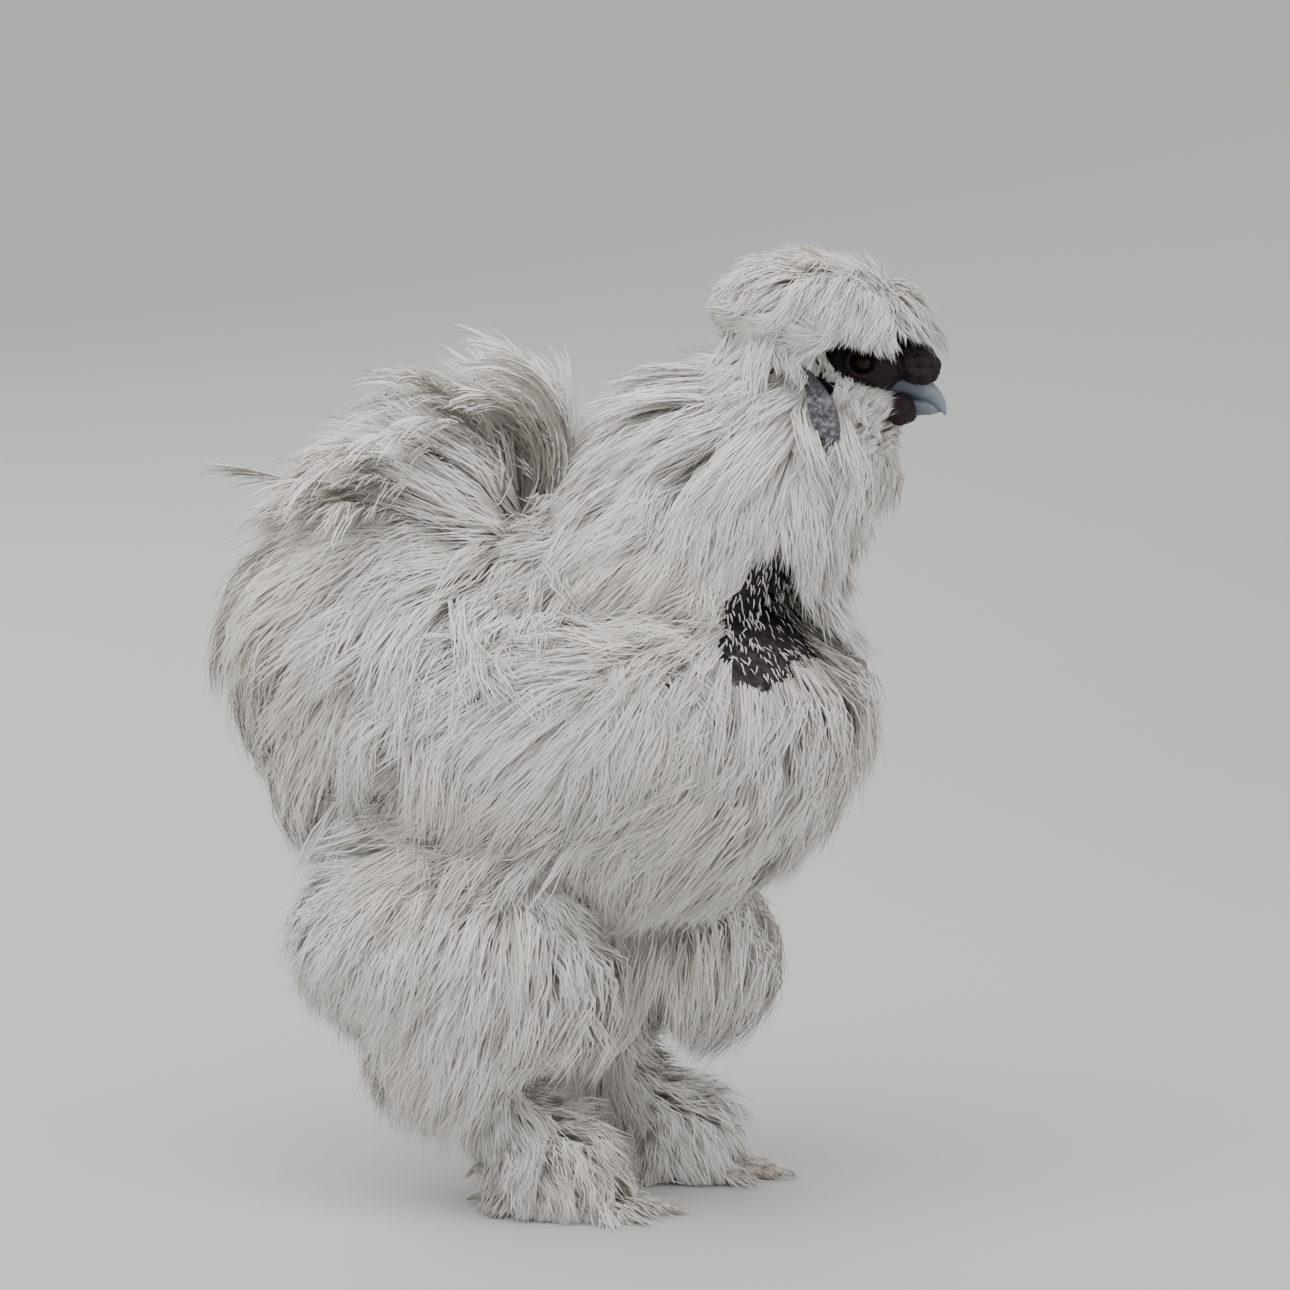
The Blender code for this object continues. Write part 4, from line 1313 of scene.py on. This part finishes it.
class BuildComb(bpy.types.Operator):
    """The walnut comb and the wattles"""

    bl_idname = "silkie.comb"
    bl_label = "Comb and wattles"

    def execute(self, context):
        pieces = [piece_of("walnut_comb", ball("comb", *COMB, comb_rise), "face_skin", "comb")]
        for word, side in SIDES.items():
            (x, y, z), *sizes = WATTLE
            mesh = ball("wattle", (x, y * side, z), *sizes, wattle_rise)
            pieces.append(piece_of("wattle_skin_" + word, mesh, "face_skin", "wattle_" + word))
        for thing in pieces:
            dress(thing, "face skin", face_finish, context.scene.skin_look)
        return {"FINISHED"}


class BuildLobes(bpy.types.Operator):
    """The ear lobes"""

    bl_idname = "silkie.lobes"
    bl_label = "Ear lobes"

    def execute(self, context):
        for word, side in SIDES.items():
            thing = piece_of("lobe_skin_" + word, lobe_mesh(side), "lobe_skin", "ear_lobe_" + word)
            dress(thing, "lobe skin", lobe_finish, context.scene.skin_look)
        return {"FINISHED"}


class BuildFeet(bpy.types.Operator):
    """The feet and their claws"""

    bl_idname = "silkie.feet"
    bl_label = "Feet and claws"

    def execute(self, context):
        for word, side in SIDES.items():
            mesh = foot_mesh(word, side)
            store_scutes(mesh)
            thing = piece_of("foot_skin_" + word, mesh, "foot_skin", "foot_" + word)
            dress(thing, "foot skin", foot_finish, context.scene.skin_look)
            for name in TOES:
                thing = piece_of(
                    f"claw_horn_{word}_{name}", claw_mesh(word, side, name), "claw", f"claw_{word}_{name}"
                )
                dress(thing, "claw", claw_finish, context.scene.skin_look)
        return {"FINISHED"}


def coat_piece(context, name, nodes, parts, extra=None):
    """One piece of plumage from the coats of some forms, each given by its coat's name and form."""
    look = context.scene.plumage_look
    strands = Strands()
    for index, (coat, form) in enumerate(parts):
        grow(strands, form, COATS[coat], look, [look.seed, len(name), index])
    if extra:
        extra(strands)
    thing = piece_of(name, strands.mesh(name), "plumage", *nodes)
    dress(thing, "plumage", plumage_finish, look)


class GrowHeadCoat(bpy.types.Operator):
    """The crest, the cheeks and the beard"""

    bl_idname = "silkie.head_coat"
    bl_label = "Crest and beard"

    def execute(self, context):
        crest = [(name, CREST) for name in ("crest", "crown", "nape")]
        coat_piece(context, "crest_plumage", ["crest"], crest)
        beard = [("beard", BEARD), ("cheek", SKULL), ("cheek", BEARD)]
        coat_piece(context, "beard_plumage", ["beard"], beard)
        return {"FINISHED"}


class GrowNeckCoat(bpy.types.Operator):
    """The hackle, the cape and the pin feathers over the crop"""

    bl_idname = "silkie.neck_coat"
    bl_label = "Hackle and cape"

    def execute(self, context):
        seed = context.scene.plumage_look.seed
        coat_piece(context, "hackle_plumage", ["neck"], [("neck", NECK), ("mane", MANE)])
        coat_piece(context, "cape_plumage", [], [("cape", CAPE)], lambda strands: grow_pins(strands, seed))
        return {"FINISHED"}


class GrowBodyCoat(bpy.types.Operator):
    """The breast and belly, the saddle and the wings"""

    bl_idname = "silkie.body_coat"
    bl_label = "Body plumage"

    def execute(self, context):
        coat_piece(context, "breast_plumage", ["torso"], [("torso", TORSO)])
        coat_piece(context, "belly_plumage", [], [("belly", BELLY)])
        coat_piece(context, "saddle_plumage", ["saddle"], [("saddle", SADDLE)])
        for word, side in SIDES.items():
            wing = [("wing", WING[side]), ("shoulder", WING[side])]
            coat_piece(context, f"wing_plumage_{word}", ["wing_" + word], wing)
        return {"FINISHED"}


class GrowTail(bpy.types.Operator):
    """The tail's cushion and its long plumes"""

    bl_idname = "silkie.tail"
    bl_label = "Tail"

    def execute(self, context):
        seed = context.scene.plumage_look.seed
        coat_piece(
            context, "tail_plumage", ["tail"], [("tail", TAIL)],
            lambda strands: grow_plumes(strands, seed + 1),
        )
        return {"FINISHED"}


class GrowLegCoat(bpy.types.Operator):
    """The thighs, the shanks and the feathered toes"""

    bl_idname = "silkie.leg_coat"
    bl_label = "Leg plumage"

    def execute(self, context):
        seed = context.scene.plumage_look.seed
        for word, side in SIDES.items():
            coat_piece(context, f"thigh_plumage_{word}", ["thigh_" + word], [("thigh", THIGH[side])])
            coat_piece(
                context, f"shank_plumage_{word}", ["shank_" + word],
                [("hock", HOCK[side]), ("shank", SHANK[side]), ("bell", BELL[side])],
                lambda strands, side=side: grow_toe_feathers(strands, side, seed + 2),
            )
        return {"FINISHED"}


TARGET = Vector((0.031, 0.0, 0.218))
CAMERA_AZIMUTH, CAMERA_HEIGHT, CAMERA_DISTANCE = 10, 6, 2.1
CAMERA_LENS = 150
FLAT, CURVE, CURVE_TURN, CURVE_STEPS = 1.4, 2.2, 57, 16
# Painted light: the floor and backdrop turn paler between a near and a far distance in metres, where less
# light reaches them
PAINTED_LIGHT_SPAN, FAR_FLOOR_PAINTED_LIGHT = (0.4, 3.4), (0.64, 0.635, 0.62)
# Each light: name, place, size, share of the key light's power
LIGHTS = (
    ("key", (-0.4, -0.9, 1.9), 2.2, 1.0),
    ("front", (1.5, -0.9, 0.9), 1.6, 0.22),
    ("back", (-0.9, 1.4, 1.3), 1.6, 0.35),
)


class SetStage(bpy.types.Operator):
    """The pale floor and backdrop, the soft lights and the camera"""

    bl_idname = "silkie.stage"
    bl_label = "Stage"

    def execute(self, context):
        look = context.scene.stage_look
        self.floor(look)
        self.lights(context, look)
        camera = bpy.data.objects.new("camera", bpy.data.cameras.new("camera"))
        context.scene.collection.objects.link(camera)
        camera.data.lens = CAMERA_LENS
        azimuth, height = math.radians(CAMERA_AZIMUTH), math.radians(CAMERA_HEIGHT)
        back = Vector(
            (math.sin(azimuth) * math.cos(height), -math.cos(azimuth) * math.cos(height), math.sin(height))
        )
        camera.location = TARGET + back * CAMERA_DISTANCE
        camera.rotation_euler = (-back).to_track_quat("-Z", "Y").to_euler()
        camera.data.clip_start, camera.data.clip_end = 0.05, 30
        context.scene.camera = camera
        return {"FINISHED"}

    def floor(self, look):
        """A round floor that curves up into a backdrop on all sides, painted paler far from the bird where
        less light reaches it.
        """
        shape = bmesh.new()
        line = [shape.verts.new((0, 0, 0))]
        for step in range(CURVE_STEPS + 1):
            angle = math.radians(CURVE_TURN) * step / CURVE_STEPS
            place = (FLAT + CURVE * math.sin(angle), 0, CURVE - CURVE * math.cos(angle))
            line.append(shape.verts.new(place))
        edges = [shape.edges.new(pair) for pair in zip(line, line[1:])]
        bmesh.ops.spin(
            shape, geom=line + edges, cent=(0, 0, 0), axis=(0, 0, 1), angle=2 * math.pi, steps=96,
            use_merge=True,
        )
        bmesh.ops.remove_doubles(shape, verts=shape.verts, dist=MM)
        bmesh.ops.recalc_face_normals(shape, faces=shape.faces)
        mesh = bpy.data.meshes.new("floor")
        shape.to_mesh(mesh)
        shape.free()
        mesh.shade_smooth()
        floor = bpy.data.objects.new("floor", mesh)
        bpy.context.scene.collection.objects.link(floor)
        finish = Finish("floor", 0.85)
        x, y, _ = finish.axes()
        # Painted light, paler towards the backdrop
        away = ((x * x + y * y) ** 0.5).ramp(*PAINTED_LIGHT_SPAN)
        finish.feed("Base Color", finish.blend(away, tuple(look.floor_colour), FAR_FLOOR_PAINTED_LIGHT))
        floor.data.materials.append(finish.material)

    def lights(self, context, look):
        """Large soft lights and an even pale sky."""
        for name, place, size, share in LIGHTS:
            data = bpy.data.lights.new(name, "AREA")
            data.size = size
            data.energy = look.key_power * share
            lamp = bpy.data.objects.new(name, data)
            context.scene.collection.objects.link(lamp)
            lamp.location = place
            lamp.rotation_euler = (TARGET - Vector(place)).to_track_quat("-Z", "Y").to_euler()
        world = bpy.data.worlds.new("sky")
        world.use_nodes = True
        ground = world.node_tree.nodes["Background"]
        ground.inputs["Color"].default_value = (0.97, 0.98, 1.0, 1)
        ground.inputs["Strength"].default_value = look.sky_strength
        context.scene.world = world


BUILDERS = (
    BuildSkin, BuildFace, BuildEyes, BuildBeak, BuildComb, BuildLobes, BuildFeet,
    GrowHeadCoat, GrowNeckCoat, GrowBodyCoat, GrowTail, GrowLegCoat, SetStage,
)


class SilkiePanel(bpy.types.Panel):
    """Lists the looks and the builders of the silkie chicken"""

    bl_idname = "VIEW3D_PT_silkie"
    bl_label = "Silkie chicken"
    bl_space_type = "VIEW_3D"
    bl_region_type = "UI"
    bl_category = "Silkie"

    def draw(self, context):
        for look in (context.scene.plumage_look, context.scene.skin_look, context.scene.stage_look):
            for name in look.__annotations__:
                self.layout.prop(look, name)
        for builder in BUILDERS:
            self.layout.operator(builder.bl_idname)


LOOKS = {"plumage_look": PlumageLook, "skin_look": SkinLook, "stage_look": StageLook}


def register():
    for look in LOOKS.values():
        bpy.utils.register_class(look)
    for name, look in LOOKS.items():
        setattr(bpy.types.Scene, name, PointerProperty(type=look))
    for builder in BUILDERS + (SilkiePanel,):
        bpy.utils.register_class(builder)


def unregister():
    for builder in reversed(BUILDERS + (SilkiePanel,)):
        bpy.utils.unregister_class(builder)
    for name in LOOKS:
        delattr(bpy.types.Scene, name)
    for look in reversed(LOOKS.values()):
        bpy.utils.unregister_class(look)


def main():
    register()
    for builder in BUILDERS:
        family, name = builder.bl_idname.split(".")
        getattr(getattr(bpy.ops, family), name)()


if __name__ == "__main__":
    main()
